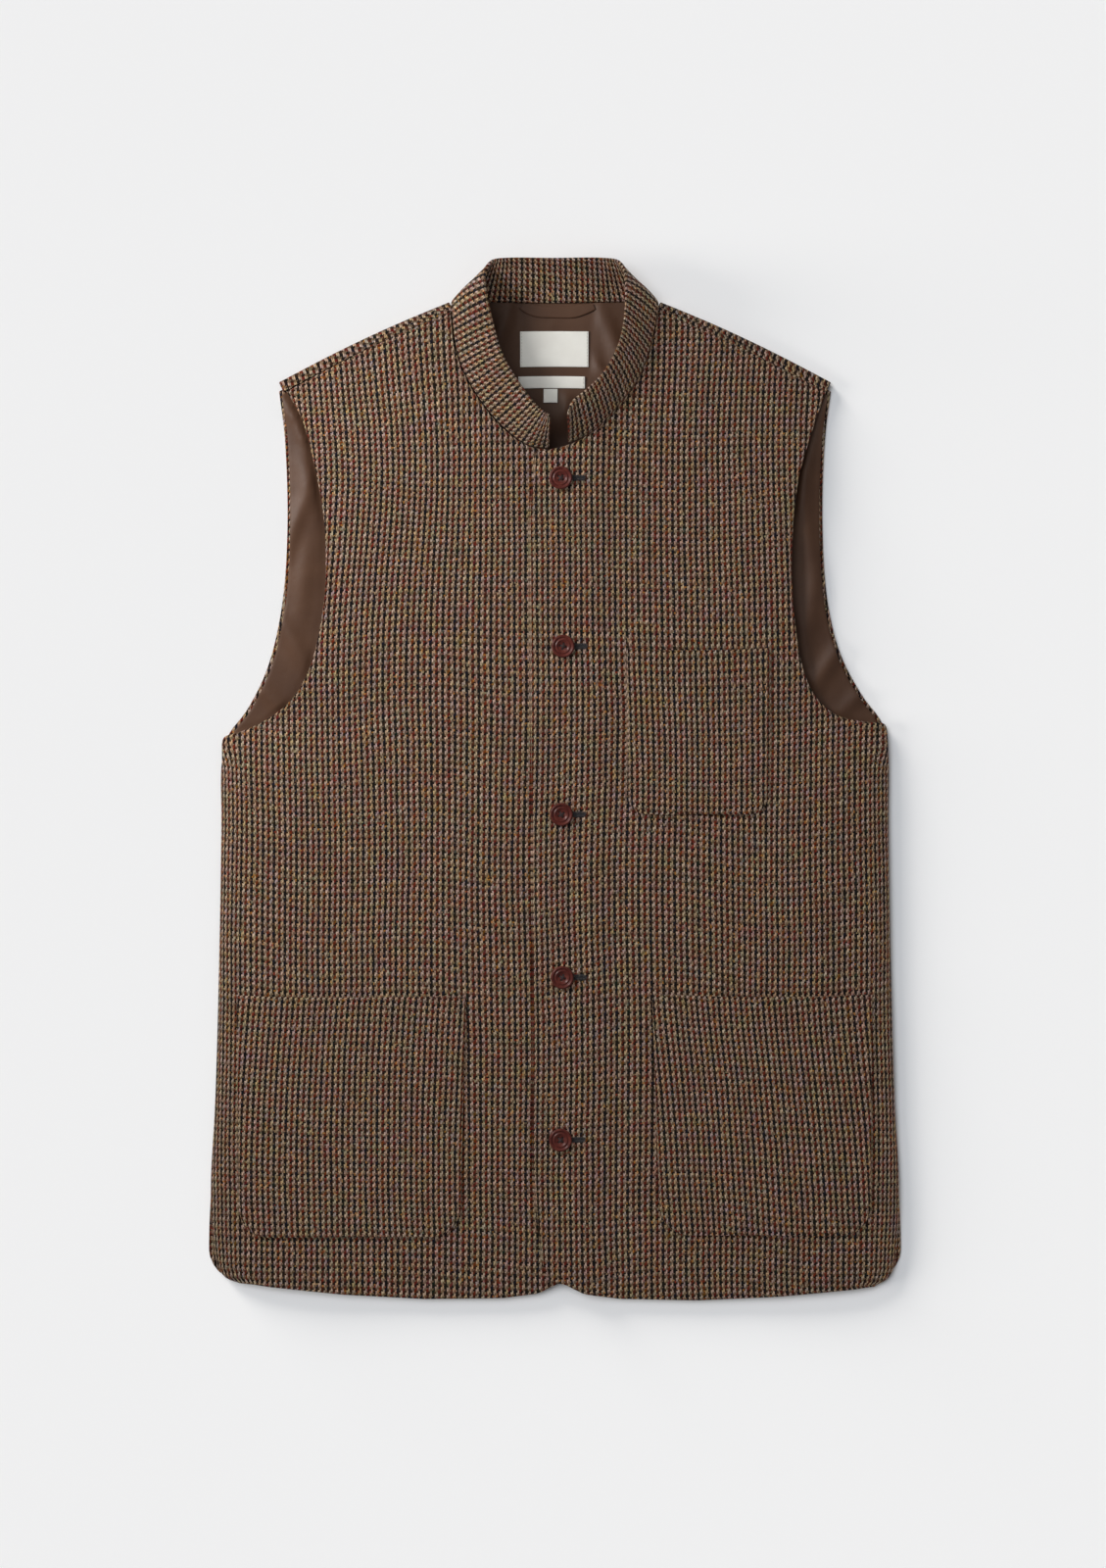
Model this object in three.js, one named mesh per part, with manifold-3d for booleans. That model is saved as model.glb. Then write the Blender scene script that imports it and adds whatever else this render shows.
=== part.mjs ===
// A single-breasted tweed waistcoat with a band collar, buttoned up and laid flat with its front up.
// Millimetres. +X is the wearer's left, +Y runs from the hem to the collar, and +Z is up from the
// surface that it lies on, with the origin under the middle.
import * as THREE from "three";
import { mergeVertices } from "three/addons/utils/BufferGeometryUtils.js";
import Module from "manifold-3d";

const wasm = await Module();
wasm.setup();

// Cloth thicknesses and the gap that seams and layers keep
const BACK_CLOTH = 1.8;
const FRONT_CLOTH = 2.0;
const COLLAR_CLOTH = 2.6;
const POCKET_CLOTH = 1.5;
const LINING_CLOTH = 0.6;
const LABEL_CLOTH = 0.5;
const LOOP_CLOTH = 1.0;
const SEAM_GAP = 0.3;
const LAP_GAP = 0.48;

// Heights at which the layers start
const LINING_Z = BACK_CLOTH + SEAM_GAP;
const INSIDE_Z = LINING_Z + LINING_CLOTH + SEAM_GAP;

// The lap: how far the left front is lifted over the right one, and where it comes down beside it
const LAP_RISE = FRONT_CLOTH + LAP_GAP;
const LAP_END_X = 29;
const LAP_RAMP = 17;

// How the fronts lie over the back
const CROWN = 1.8;
const CROWN_WIDTH = 45;
const CROWN_HEM_Y = -404;
const SIDE_DROP = INSIDE_Z - LINING_Z;
const SIDE_DROP_WIDTH = 12;
const SIDE_DROP_TOP = { fades: 6, ends: 26 };
const NECK = { y: 335, halfWidth: 78, halfHeight: 92, rise: 7, fade: 0.85 };
const ARMHOLE = { rise: 6, starts: 40, full: 84, fades: 225, ends: 284, reach: 52 };
const SIDE_ROLL = { rise: 3.6, width: 8, fades: 40, ends: 140, armhole: -2, top: 44, aboveHem: 60 };

// The lengths of cloth between two rows or two columns of points
const ROW_STEP = 38;
const FLAT_ROW_STEP = 64;
const LAP_COLUMNS = [0, 16, 31, 45.5, 54, 63.5];
const FRONT_COLUMNS = 8;
const SIDE_COLUMNS = [17, 7, 2.5, 0];

// The side of the back from its hem corner, up the vent, side and armhole, to the tip of the shoulder
const BACK_SIDE = [
  { x: 238, y: -370 },
  { x: 249, y: -364 },
  { x: 255.5, y: -353 },
  { x: 256.2, y: -338 },
  { x: 254.6, y: -300 },
  { x: 251.5, y: -240 },
  { x: 248.6, y: -140 },
  { x: 246.9, y: -40 },
  { x: 246.6, y: 22 },
  { x: 241.5, y: 41 },
  { x: 229, y: 55.5 },
  { x: 213.4, y: 84 },
  { x: 202.5, y: 127 },
  { x: 198.2, y: 185 },
  { x: 200.2, y: 252 },
  { x: 204.4, y: 288 },
];

// The left armhole lies a little higher than the right one
const LEFT_ARMHOLE = { lift: 10, y: 50, reach: 55, power: 6 };

// The shoulder's outline from the neck to the tip, and the strip of back cloth that is rolled over it
const SHOULDER = { neckX: 79.6, neckY: 352.6, tipX: 204.4, tipY: 294.4, bow: 2.4 };
const SHOULDER_STRIP = 7.2;
const ROLL_STEPS = 12;
const FLAT_SHOULDER_INSET = 6;

// The neck edge of the back, which is tucked under the foot of the collar
const NECK_EDGE = { y: 352.6, rise: 2.6, half: 74, power: 8 };

// Sections across a front, from the hem up. Distances are from the middle outwards on its own side, so
// what crosses the middle is negative. The row marked corner is where the free edge meets the neck.
const LEFT_FRONT = [
  { inner: -4.4, innerY: -370.4, outer: 236, outerY: -373.6 },
  { inner: -7.4, innerY: -364, outer: 245, outerY: -369.4 },
  { inner: -9.2, innerY: -356, outer: 250, outerY: -362 },
  { inner: -13.2, innerY: -322, outer: 254, outerY: -328 },
  { inner: -15.9, innerY: -292, outer: 254.3, outerY: -296 },
  { inner: -16.4, innerY: -240, outer: 251.3, outerY: -240 },
  { inner: -16.6, innerY: -140, outer: 248.4, outerY: -140 },
  { inner: -17.1, innerY: -40, outer: 246.7, outerY: -36 },
  { inner: -17.5, innerY: 5, outer: 246.3, outerY: 29 },
  { inner: -17.6, innerY: 17, outer: 244, outerY: 41.4 },
  { inner: -17.7, innerY: 29, outer: 231, outerY: 43 },
  { inner: -17.9, innerY: 49, outer: 209, outerY: 48 },
  { inner: -18, innerY: 66, outer: 195.4, outerY: 58.6 },
  { inner: -18.1, innerY: 85, outer: 185.2, outerY: 76.5 },
  { inner: -18.3, innerY: 140, outer: 176.2, outerY: 128 },
  { inner: -18.4, innerY: 200, outer: 175.8, outerY: 186 },
  { inner: -14.1, innerY: 242, outer: 180.8, outerY: 227, corner: true },
  { inner: 0, innerY: 244.4, outer: 182.8, outerY: 234 },
  { inner: 14, innerY: 248.6, outer: 185.2, outerY: 242 },
  { inner: 29.8, innerY: 258.4, outer: 188, outerY: 251 },
  { inner: 46.5, innerY: 275.8, outer: 190.8, outerY: 259.6 },
  { inner: 61, innerY: 294.9, outer: 193.8, outerY: 268.4 },
  { inner: 69.3, innerY: 316, outer: 196.4, outerY: 275.8 },
  { inner: 76.6, innerY: 345.4, outer: 200.4, outerY: 287.1 },
];

const RIGHT_FRONT = [
  { inner: -13.6, innerY: -370.4, outer: 233, outerY: -371.4 },
  { inner: -16.6, innerY: -364, outer: 243.4, outerY: -367.8 },
  { inner: -18.4, innerY: -356, outer: 249, outerY: -360 },
  { inner: -22.4, innerY: -322, outer: 253.6, outerY: -332 },
  { inner: -25.1, innerY: -292, outer: 254.3, outerY: -296 },
  { inner: -25.6, innerY: -240, outer: 251.3, outerY: -240 },
  { inner: -25.7, innerY: -140, outer: 248.4, outerY: -140 },
  { inner: -25.8, innerY: -40, outer: 246.7, outerY: -40 },
  { inner: -25.9, innerY: 5, outer: 246.3, outerY: 14 },
  { inner: -26, innerY: 19, outer: 245, outerY: 31.4 },
  { inner: -26, innerY: 31, outer: 235.1, outerY: 34.8 },
  { inner: -26, innerY: 51, outer: 214.8, outerY: 43.9 },
  { inner: -26, innerY: 68, outer: 196.4, outerY: 58 },
  { inner: -26, innerY: 89, outer: 182.2, outerY: 80.3 },
  { inner: -26, innerY: 140, outer: 170.7, outerY: 131 },
  { inner: -26, innerY: 200, outer: 170, outerY: 186 },
  { inner: -25, innerY: 240.4, outer: 176.6, outerY: 228, corner: true },
  { inner: -10, innerY: 240.6, outer: 178.4, outerY: 236 },
  { inner: 3, innerY: 243.4, outer: 180.2, outerY: 243.6 },
  { inner: 19.2, innerY: 246.2, outer: 182, outerY: 251 },
  { inner: 35.3, innerY: 257, outer: 184.6, outerY: 259.4 },
  { inner: 51.5, innerY: 274.6, outer: 187.4, outerY: 267 },
  { inner: 65.5, innerY: 297.1, outer: 190.8, outerY: 274.4 },
  { inner: 72.8, innerY: 316.7, outer: 194, outerY: 280 },
  { inner: 77, innerY: 345, outer: 198.6, outerY: 287.4 },
];

// The curve of a front's hem below the straight line between its corners
const HEM_DIP = [
  { outward: 0, dip: 0 },
  { outward: 12, dip: 2.4 },
  { outward: 26, dip: 9.2 },
  { outward: 52, dip: 12.6 },
  { outward: 110, dip: 13 },
  { outward: 170, dip: 9.4 },
  { outward: 225, dip: 3.4 },
  { outward: 246, dip: 0 },
];

// Broad soft folds of the fronts: a ridge where lift is positive, a trough where it is negative
const FOLDS = [
  { x: -122, y: 150, turn: 84, long: 150, wide: 34, lift: 0.8 },
  { x: -72, y: 110, turn: 97, long: 120, wide: 26, lift: -0.5 },
  { x: -150, y: -62, turn: 6, long: 96, wide: 34, lift: -0.7 },
  { x: -190, y: -110, turn: 116, long: 78, wide: 27, lift: 0.5 },
  { x: -66, y: -240, turn: 85, long: 110, wide: 27, lift: -0.5 },
  { x: 92, y: 192, turn: 71, long: 100, wide: 30, lift: 0.6 },
  { x: 150, y: 20, turn: 104, long: 90, wide: 28, lift: -0.5 },
  { x: 112, y: -84, turn: -13, long: 104, wide: 34, lift: 0.5 },
  { x: 190, y: -100, turn: 62, long: 74, wide: 27, lift: 0.5 },
  { x: 62, y: -232, turn: 95, long: 110, wide: 27, lift: 0.5 },
];

// The band collar, from its end at the wearer's left front round the back to its end at the right
// front. Each section runs from the neck seam to the top edge; front is 1 where the seam is on a
// front, 0 where it is on the back, and between them as it passes over the shoulder.
const BAND_HEIGHT = 36;
const BAND_BULGE = 2.4;
const BAND_CORNER = 9;
const BAND_LEAN = 0.95;
const BAND_SETTLE = 0.8;
const BACK_NECK_Z = 3.4;
const COLLAR_SECTIONS = [
  { seamX: 9.8, seamY: 249.2, edgeX: 9, edgeY: 272, front: 1 },
  { seamX: 18.8, seamY: 252.6, edgeX: 13.6, edgeY: 278.4, front: 1 },
  { seamX: 30, seamY: 259.6, edgeX: 22.4, edgeY: 285.6, front: 1 },
  { seamX: 46, seamY: 276.8, edgeX: 35.6, edgeY: 299, front: 1 },
  { seamX: 60.2, seamY: 295.6, edgeX: 45.8, edgeY: 318, front: 1 },
  { seamX: 68.4, seamY: 316.4, edgeX: 50, edgeY: 334.5, front: 1 },
  { seamX: 75.2, seamY: 346.2, edgeX: 51.6, edgeY: 361.5, front: 1 },
  { seamX: 75.4, seamY: 352.6, edgeX: 51.2, edgeY: 369.5, front: 0.45 },
  { seamX: 69, seamY: 354.2, edgeX: 50.2, edgeY: 376.6, front: 0 },
  { seamX: 58, seamY: 354, edgeX: 45.8, edgeY: 382.6, front: 0 },
  { seamX: 36, seamY: 353.7, edgeX: 34, edgeY: 384.3, front: 0 },
  { seamX: 0, seamY: 352.9, edgeX: 0, edgeY: 384.3, front: 0 },
  { seamX: -36, seamY: 353.7, edgeX: -34, edgeY: 384.3, front: 0 },
  { seamX: -58, seamY: 354, edgeX: -45.6, edgeY: 382.8, front: 0 },
  { seamX: -70, seamY: 354.2, edgeX: -50, edgeY: 376.8, front: 0 },
  { seamX: -75.6, seamY: 352.6, edgeX: -51, edgeY: 369, front: 0.45 },
  { seamX: -75.4, seamY: 345.8, edgeX: -50.2, edgeY: 359.5, front: 1 },
  { seamX: -71.9, seamY: 316.9, edgeX: -43.6, edgeY: 329.4, front: 1 },
  { seamX: -64.7, seamY: 297.6, edgeX: -38.2, edgeY: 312.4, front: 1 },
  { seamX: -50.8, seamY: 275.4, edgeX: -27.2, edgeY: 293.6, front: 1 },
  { seamX: -34.6, seamY: 258, edgeX: -14, edgeY: 275.6, front: 1 },
  { seamX: -19.2, seamY: 247.4, edgeX: -6, edgeY: 268.6, front: 1 },
  { seamX: -4.2, seamY: 245.2, edgeX: -3.4, edgeY: 268, front: 1 },
];
const COLLAR_STEP = 13;
const COLLAR_RINGS = [0, 0.12, 0.36, 0.66, 1];

// Patch pockets on the fronts: the left and right sides at the mouth and at the bottom
const POCKETS = [
  { name: "chest_pocket", left: 53, right: 158.6, lowLeft: 54.4, lowRight: 157, top: 97.4, bottom: -25.4 },
  { name: "hip_pocket_right", left: -235, right: -66, lowLeft: -233, lowRight: -70, top: -159, bottom: -337.6 },
  { name: "hip_pocket_left", left: 71.8, right: 234.4, lowLeft: 78, lowRight: 233, top: -158.4, bottom: -336.4 },
];
const POCKET_CORNER = { chest_pocket: 13, hip_pocket_right: 22, hip_pocket_left: 22 };
const POCKET_SAG = 1.6;
const MOUTH_LIFT = 1.1;
const MOUTH_DEPTH = 14;
const POCKET_STEP = 18;
const POCKET_GAP = 0.42;

// Four-hole buttons down the lap
const BUTTON = { radius: 8.5, height: 3, holeRadius: 0.85, holeReach: 1.45 };
const BUTTON_PROFILE = [
  { out: 0, up: 0 },
  { out: 0.88, up: 0 },
  { out: 1, up: 0.34 },
  { out: 0.97, up: 0.8 },
  { out: 0.87, up: 1 },
  { out: 0.73, up: 0.66 },
  { out: 0.6, up: 0.84 },
  { out: 0.46, up: 0.56 },
  { out: 0, up: 0.52 },
];
const BUTTONS = [
  { x: 4.3, y: 222.6, turn: 8 },
  { x: 6, y: 98.8, turn: 31 },
  { x: 4.8, y: -25.4, turn: -12 },
  { x: 5.5, y: -145.7, turn: 22 },
  { x: 4.2, y: -265.7, turn: 3 },
];

// The lining inside the back, and what is sewn on it
const LINING = { armholeInset: 2.4, sideInset: 17, hemY: -346, shoulderInset: 10 };
const LINING_NECK = { y: 352.9, rise: 1.6, leaves: 22, meets: 0 };
const LABELS = [
  { name: "main_label", x: -0.4, y: 319, wide: 50.6, high: 26.3, curl: 0.5 },
  { name: "strip_label", x: -2.4, y: 294.5, wide: 49.3, high: 8.8, curl: 0.8 },
  { name: "size_tab", x: -3.2, y: 284.4, wide: 10.3, high: 10.2, curl: 0.2 },
];
const LOOP_WIDTH = 8.5;
const LOOP_TOP_Y = 352.2;
const LOOP_PATH = [
  { x: -24, y: 352.2 },
  { x: -19.6, y: 349.2 },
  { x: -13, y: 346.9 },
  { x: -1, y: 346.3 },
  { x: 14, y: 346.4 },
  { x: 21.6, y: 348.8 },
  { x: 28.6, y: 352 },
];

const { clamp, smoothstep, lerp, degToRad } = THREE.MathUtils;
const range = (count) => Array.from({ length: count }, (_, index) => index);

// The value at a place in a table, on straight lines between its rows
function readTable(rows, place, value, at) {
  const last = rows.length - 1;
  if (at <= rows[0][place]) return rows[0][value];
  if (at >= rows[last][place]) return rows[last][value];
  const next = rows.findIndex((row) => row[place] > at);
  const [a, b] = [rows[next - 1], rows[next]];
  return lerp(a[value], b[value], (at - a[place]) / (b[place] - a[place]));
}

// A smooth curve through points, broken at corners, as a function of the row number
function through(points, corners = []) {
  const breaks = [0, ...corners, points.length - 1];
  const curves = range(breaks.length - 1).map(
    (k) => new THREE.CatmullRomCurve3(points.slice(breaks[k], breaks[k + 1] + 1)),
  );
  return (row) => {
    const k = Math.max(0, breaks.findLastIndex((start, n) => n < curves.length && start <= row));
    return curves[k].getPoint((row - breaks[k]) / (breaks[k + 1] - breaks[k]));
  };
}

// Row numbers at most a step apart, with every row of the table among them
function rowNumbers(count, distance, step) {
  const rows = [0];
  for (const row of range(count - 1)) {
    const parts = Math.max(1, Math.ceil(distance(row) / step - 0.15));
    range(parts).forEach((part) => rows.push(row + (part + 1) / parts));
  }
  return rows;
}

// A closed wall of cloth round a grid of points on its middle surface. Both skins stop short of the
// border and meet on it, so the edge is soft.
function clothWall(points, thickness) {
  const thickAt = typeof thickness === "function" ? thickness : () => thickness;
  const rows = points.length;
  const columns = points[0].length;
  const at = (j, i) => points[Math.min(Math.max(j, 0), rows - 1)][Math.min(Math.max(i, 0), columns - 1)];
  const place = [];
  const index = [];
  const add = (point) => place.push(point.x, point.y, point.z) / 3 - 1;
  const pull = (from, to, thick) => {
    const way = to.clone().sub(from);
    const reach = Math.min(0.4 * thick, 0.45 * way.length());
    return way.setLength(reach);
  };
  const skins = { upper: [], lower: [] };
  for (const j of range(rows)) {
    skins.upper.push([]);
    skins.lower.push([]);
    for (const i of range(columns)) {
      const across = at(j, i + 1).clone().sub(at(j, i - 1));
      const along = at(j + 1, i).clone().sub(at(j - 1, i));
      const thick = thickAt(i, j);
      const half = across.cross(along).setLength(thick / 2);
      const middle = at(j, i).clone();
      if (i === 0) middle.add(pull(at(j, 0), at(j, 1), thick));
      if (i === columns - 1) middle.add(pull(at(j, i), at(j, i - 1), thick));
      if (j === 0) middle.add(pull(at(0, i), at(1, i), thick));
      if (j === rows - 1) middle.add(pull(at(j, i), at(j - 1, i), thick));
      skins.upper[j].push(add(middle.clone().add(half)));
      skins.lower[j].push(add(middle.clone().sub(half)));
    }
  }
  for (const j of range(rows - 1)) {
    for (const i of range(columns - 1)) {
      const short = at(j, i).distanceTo(at(j + 1, i + 1)) < at(j, i + 1).distanceTo(at(j + 1, i));
      for (const [skin, flip] of [[skins.upper, false], [skins.lower, true]]) {
        const [a, b, c, d] = [skin[j][i], skin[j][i + 1], skin[j + 1][i + 1], skin[j + 1][i]];
        const faces = short ? [[a, b, c], [a, c, d]] : [[a, b, d], [b, c, d]];
        faces.forEach((face) => index.push(...(flip ? face.reverse() : face)));
      }
    }
  }
  const border = [
    ...range(columns - 1).map((i) => [0, i]),
    ...range(rows - 1).map((j) => [j, columns - 1]),
    ...range(columns - 1).map((i) => [rows - 1, columns - 1 - i]),
    ...range(rows - 1).map((j) => [rows - 1 - j, 0]),
  ];
  const rim = border.map(([j, i]) => add(at(j, i)));
  border.forEach(([j, i], k) => {
    const next = (k + 1) % border.length;
    const [nextJ, nextI] = border[next];
    const upper = [skins.upper[j][i], skins.upper[nextJ][nextI]];
    const lower = [skins.lower[j][i], skins.lower[nextJ][nextI]];
    index.push(upper[0], rim[k], rim[next], upper[0], rim[next], upper[1]);
    index.push(rim[k], lower[0], lower[1], rim[k], lower[1], rim[next]);
  });
  const geometry = new THREE.BufferGeometry();
  geometry.setAttribute("position", new THREE.Float32BufferAttribute(place, 3));
  geometry.setIndex(index);
  return geometry;
}

function toSolid(geometry) {
  const bare = geometry.clone();
  bare.deleteAttribute("normal");
  bare.deleteAttribute("uv");
  const merged = mergeVertices(bare, 1e-4);
  return new wasm.Manifold(
    new wasm.Mesh({
      numProp: 3,
      vertProperties: new Float32Array(merged.attributes.position.array),
      triVerts: new Uint32Array(merged.index.array),
    }),
  );
}

function toGeometry(solid) {
  const mesh = solid.getMesh();
  const geometry = new THREE.BufferGeometry();
  geometry.setAttribute("position", new THREE.Float32BufferAttribute(mesh.vertProperties, 3));
  geometry.setIndex(new THREE.Uint32BufferAttribute(mesh.triVerts, 1));
  return geometry;
}

// How high a front's underside lies, over the lining and the other front
function foldAt(x, y) {
  return FOLDS.reduce((sum, fold) => {
    const turn = degToRad(fold.turn);
    const along = (x - fold.x) * Math.cos(turn) + (y - fold.y) * Math.sin(turn);
    const across = (y - fold.y) * Math.cos(turn) - (x - fold.x) * Math.sin(turn);
    return sum + fold.lift * Math.exp(-((across / fold.wide) ** 2) - (along / fold.long) ** 4);
  }, 0);
}

function neckRise(x, y) {
  const outside = Math.hypot(x / NECK.halfWidth, (y - NECK.y) / NECK.halfHeight) - 1;
  return NECK.rise * Math.exp(-((Math.max(outside, 0) / NECK.fade) ** 2));
}

// The free edge of a front stands off the lining along the armhole
function armholeRise(fromSide, y) {
  const along = smoothstep(y, ARMHOLE.starts, ARMHOLE.full) * (1 - smoothstep(y, ARMHOLE.fades, ARMHOLE.ends));
  return ARMHOLE.rise * along * Math.exp(-((fromSide / ARMHOLE.reach) ** 2));
}

// The side of a front stands up before it turns down to the side seam
function sideRoll(fromSide, y) {
  const near = 1 - clamp(fromSide / SIDE_ROLL.width, 0, 1);
  const fade = 1 - smoothstep(fromSide, SIDE_ROLL.fades, SIDE_ROLL.ends);
  const belowArmhole = 1 - smoothstep(y, SIDE_ROLL.armhole, SIDE_ROLL.top);
  const aboveHem = smoothstep(y, CROWN_HEM_Y, CROWN_HEM_Y + SIDE_ROLL.aboveHem);
  return SIDE_ROLL.rise * Math.sqrt(1 - near ** 2) * fade * belowArmhole * aboveHem;
}

function frontUnderside(x, y, side) {
  const table = side > 0 ? LEFT_FRONT : RIGHT_FRONT;
  const fromSide = readTable(table, "outerY", "outer", y) - side * x;
  const hem = smoothstep(y, CROWN_HEM_Y, CROWN_HEM_Y + CROWN_WIDTH);
  const crown = smoothstep(fromSide, 0, CROWN_WIDTH) * hem;
  const drop = (1 - smoothstep(fromSide, 0, SIDE_DROP_WIDTH))
    * (1 - smoothstep(y, SIDE_DROP_TOP.fades, SIDE_DROP_TOP.ends));
  const lap = side > 0 ? 1 - smoothstep(x, LAP_END_X, LAP_END_X + LAP_RAMP) : 0;
  const rise = neckRise(x, y) + armholeRise(fromSide, y) + sideRoll(fromSide, y);
  return INSIDE_Z + crown * (CROWN + foldAt(x, y)) + rise - SIDE_DROP * drop + LAP_RISE * lap;
}

const frontMiddle = (x, y, side) => frontUnderside(x, y, side) + FRONT_CLOTH / 2;
const frontTop = (x, y, side) => frontUnderside(x, y, side) + FRONT_CLOTH;

function makeFront(side) {
  const table = side > 0 ? LEFT_FRONT : RIGHT_FRONT;
  const corner = table.findIndex((row) => row.corner);
  const inner = through(table.map((row) => new THREE.Vector3(row.inner, row.innerY, 0)), [corner]);
  const outer = through(table.map((row) => new THREE.Vector3(row.outer, row.outerY, 0)));
  const last = table.length - 1;
  const distance = (row) => Math.max(
    inner(row).distanceTo(inner(row + 1)),
    outer(row).distanceTo(outer(row + 1)),
  );
  const points = rowNumbers(table.length, distance, ROW_STEP).map((row) => {
    const start = inner(row);
    const end = outer(row);
    const width = start.distanceTo(end);
    const evenFrom = LAP_COLUMNS.at(-1);
    const evenTo = width - SIDE_COLUMNS[0];
    const columns = [
      ...LAP_COLUMNS,
      ...range(FRONT_COLUMNS).map((k) => lerp(evenFrom, evenTo, (k + 1) / FRONT_COLUMNS)),
      ...SIDE_COLUMNS.slice(1).map((from) => width - from),
    ];
    const line = columns.map((from) => {
      const point = start.clone().lerp(end, from / width);
      const atHem = (1 - row / last) ** 6;
      const atShoulder = (row / last) ** 6;
      point.y -= readTable(HEM_DIP, "outward", "dip", from) * atHem;
      point.y += SHOULDER.bow * Math.sin((Math.PI * from) / width) * atShoulder;
      const x = side * point.x;
      return new THREE.Vector3(x, point.y, frontMiddle(x, point.y, side));
    });
    return side > 0 ? line : line.reverse();
  });
  return clothWall(points, FRONT_CLOTH);
}

// A point on the shoulder's outline, t from the neck to the tip, moved in from it by a distance
function shoulderPoint(side, t, inset) {
  const run = SHOULDER.tipX - SHOULDER.neckX;
  const fall = SHOULDER.tipY - SHOULDER.neckY;
  const length = Math.hypot(run, fall);
  const bow = SHOULDER.bow * Math.sin(Math.PI * t);
  return new THREE.Vector2(
    side * (SHOULDER.neckX + run * t + (fall / length) * inset),
    SHOULDER.neckY + fall * t + bow - (run / length) * inset,
  );
}

// Rows of a piece as wide as the back, between its hem and its neck and shoulders
function backGrid({ inset, hemY, topY, columns, z, step }) {
  const above = BACK_SIDE.filter((row) => row.y > hemY);
  const sideRows = [{ x: readTable(BACK_SIDE, "y", "x", hemY), y: hemY }, ...above];
  const side = through(sideRows.map((row) => new THREE.Vector3(row.x, row.y, 0)));
  const last = sideRows.at(-1).y;
  const distance = (row) => side(row).distanceTo(side(row + 1));
  return rowNumbers(sideRows.length, distance, step).map((row) => {
    const edge = side(row);
    const half = edge.x - inset(edge.y);
    const up = (edge.y - hemY) / (last - hemY);
    const lift = LEFT_ARMHOLE.lift * Math.exp(-(((edge.y - LEFT_ARMHOLE.y) / LEFT_ARMHOLE.reach) ** 2));
    return columns.map((column) => {
      const x = column * half;
      const y = edge.y + lift * Math.max(0, column) ** LEFT_ARMHOLE.power;
      return new THREE.Vector3(x, y + up ** 2 * (topY(x) - last), z);
    });
  });
}

function neckLine(x) {
  return NECK_EDGE.y + NECK_EDGE.rise * Math.max(0, 1 - (Math.abs(x) / NECK_EDGE.half) ** NECK_EDGE.power);
}

function liningNeckLine(x) {
  return LINING_NECK.y + LINING_NECK.rise * (1 - Math.cos((Math.PI * x) / (2 * SHOULDER.neckX)));
}

function shoulderLine(x, inset) {
  const t = (Math.abs(x) - SHOULDER.neckX) / (SHOULDER.tipX - SHOULDER.neckX);
  const slope = (SHOULDER.tipY - SHOULDER.neckY) / (SHOULDER.tipX - SHOULDER.neckX);
  const bow = SHOULDER.bow * Math.sin(Math.PI * clamp(t, 0, 1));
  return SHOULDER.neckY + slope * (Math.abs(x) - SHOULDER.neckX) + bow - inset * Math.hypot(1, slope);
}

// The cloth of the back that is rolled forward over one shoulder, to its seam with the front
function makeShoulderRoll(side) {
  const sunk = { inset: 11, thick: 0.9 };
  const arc = [0, 45, 90, 135, 180].map(degToRad);
  const points = range(ROLL_STEPS + 1).map((k) => {
    const t = k / ROLL_STEPS;
    const seam = shoulderPoint(side, t, SHOULDER_STRIP + SEAM_GAP);
    const level = BACK_CLOTH / 2;
    const roll = (frontMiddle(seam.x, seam.y, side) - level) / 2;
    const place = (inset, z) => {
      const point = shoulderPoint(side, t, inset);
      return new THREE.Vector3(point.x, point.y, z);
    };
    const outside = BACK_CLOTH / 2;
    const line = [
      place(sunk.inset, level),
      ...arc.map((turn) => place(
        outside + roll - roll * Math.sin(turn),
        level + roll - roll * Math.cos(turn),
      )),
      place(SHOULDER_STRIP, level + 2 * roll),
    ];
    return side > 0 ? line.reverse() : line;
  });
  const thin = side > 0 ? points[0].length - 1 : 0;
  return clothWall(points, (i) => (i === thin ? sunk.thick : BACK_CLOTH));
}

function makeBack() {
  const columns = [
    -1, -0.95, -0.8, -0.66, -0.52, -0.4, -0.385, -0.35, -0.3, -0.15,
    0, 0.15, 0.3, 0.35, 0.385, 0.4, 0.52, 0.66, 0.8, 0.95, 1,
  ];
  const topY = (x) => (Math.abs(x) < SHOULDER.neckX ? neckLine(x) : shoulderLine(x, FLAT_SHOULDER_INSET));
  const grid = backGrid({
    inset: () => 0,
    hemY: BACK_SIDE[0].y,
    topY,
    columns,
    z: BACK_CLOTH / 2,
    step: FLAT_ROW_STEP,
  });
  const panel = toSolid(clothWall(grid, BACK_CLOTH));
  const rolls = [1, -1].map((side) => toSolid(makeShoulderRoll(side)));
  return toGeometry(rolls.reduce((whole, roll) => whole.add(roll), panel));
}

function makeLining() {
  const columns = [
    -1, -0.9, -0.7, -0.5, -0.42, -0.38, -0.345, -0.3, -0.15,
    0, 0.15, 0.3, 0.345, 0.38, 0.42, 0.5, 0.7, 0.9, 1,
  ];
  const topY = (x) => {
    const leaves = SHOULDER.neckX - LINING_NECK.leaves;
    const meets = SHOULDER.neckX + LINING_NECK.meets;
    const pastNeck = smoothstep(Math.abs(x), leaves, meets);
    return lerp(liningNeckLine(x), shoulderLine(x, LINING.shoulderInset), pastNeck);
  };
  const grid = backGrid({
    inset: (y) => lerp(LINING.sideInset, LINING.armholeInset, smoothstep(y, 8, 48)),
    hemY: LINING.hemY,
    topY,
    columns,
    z: LINING_Z + LINING_CLOTH / 2,
    step: FLAT_ROW_STEP,
  });
  return clothWall(grid, LINING_CLOTH);
}

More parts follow.
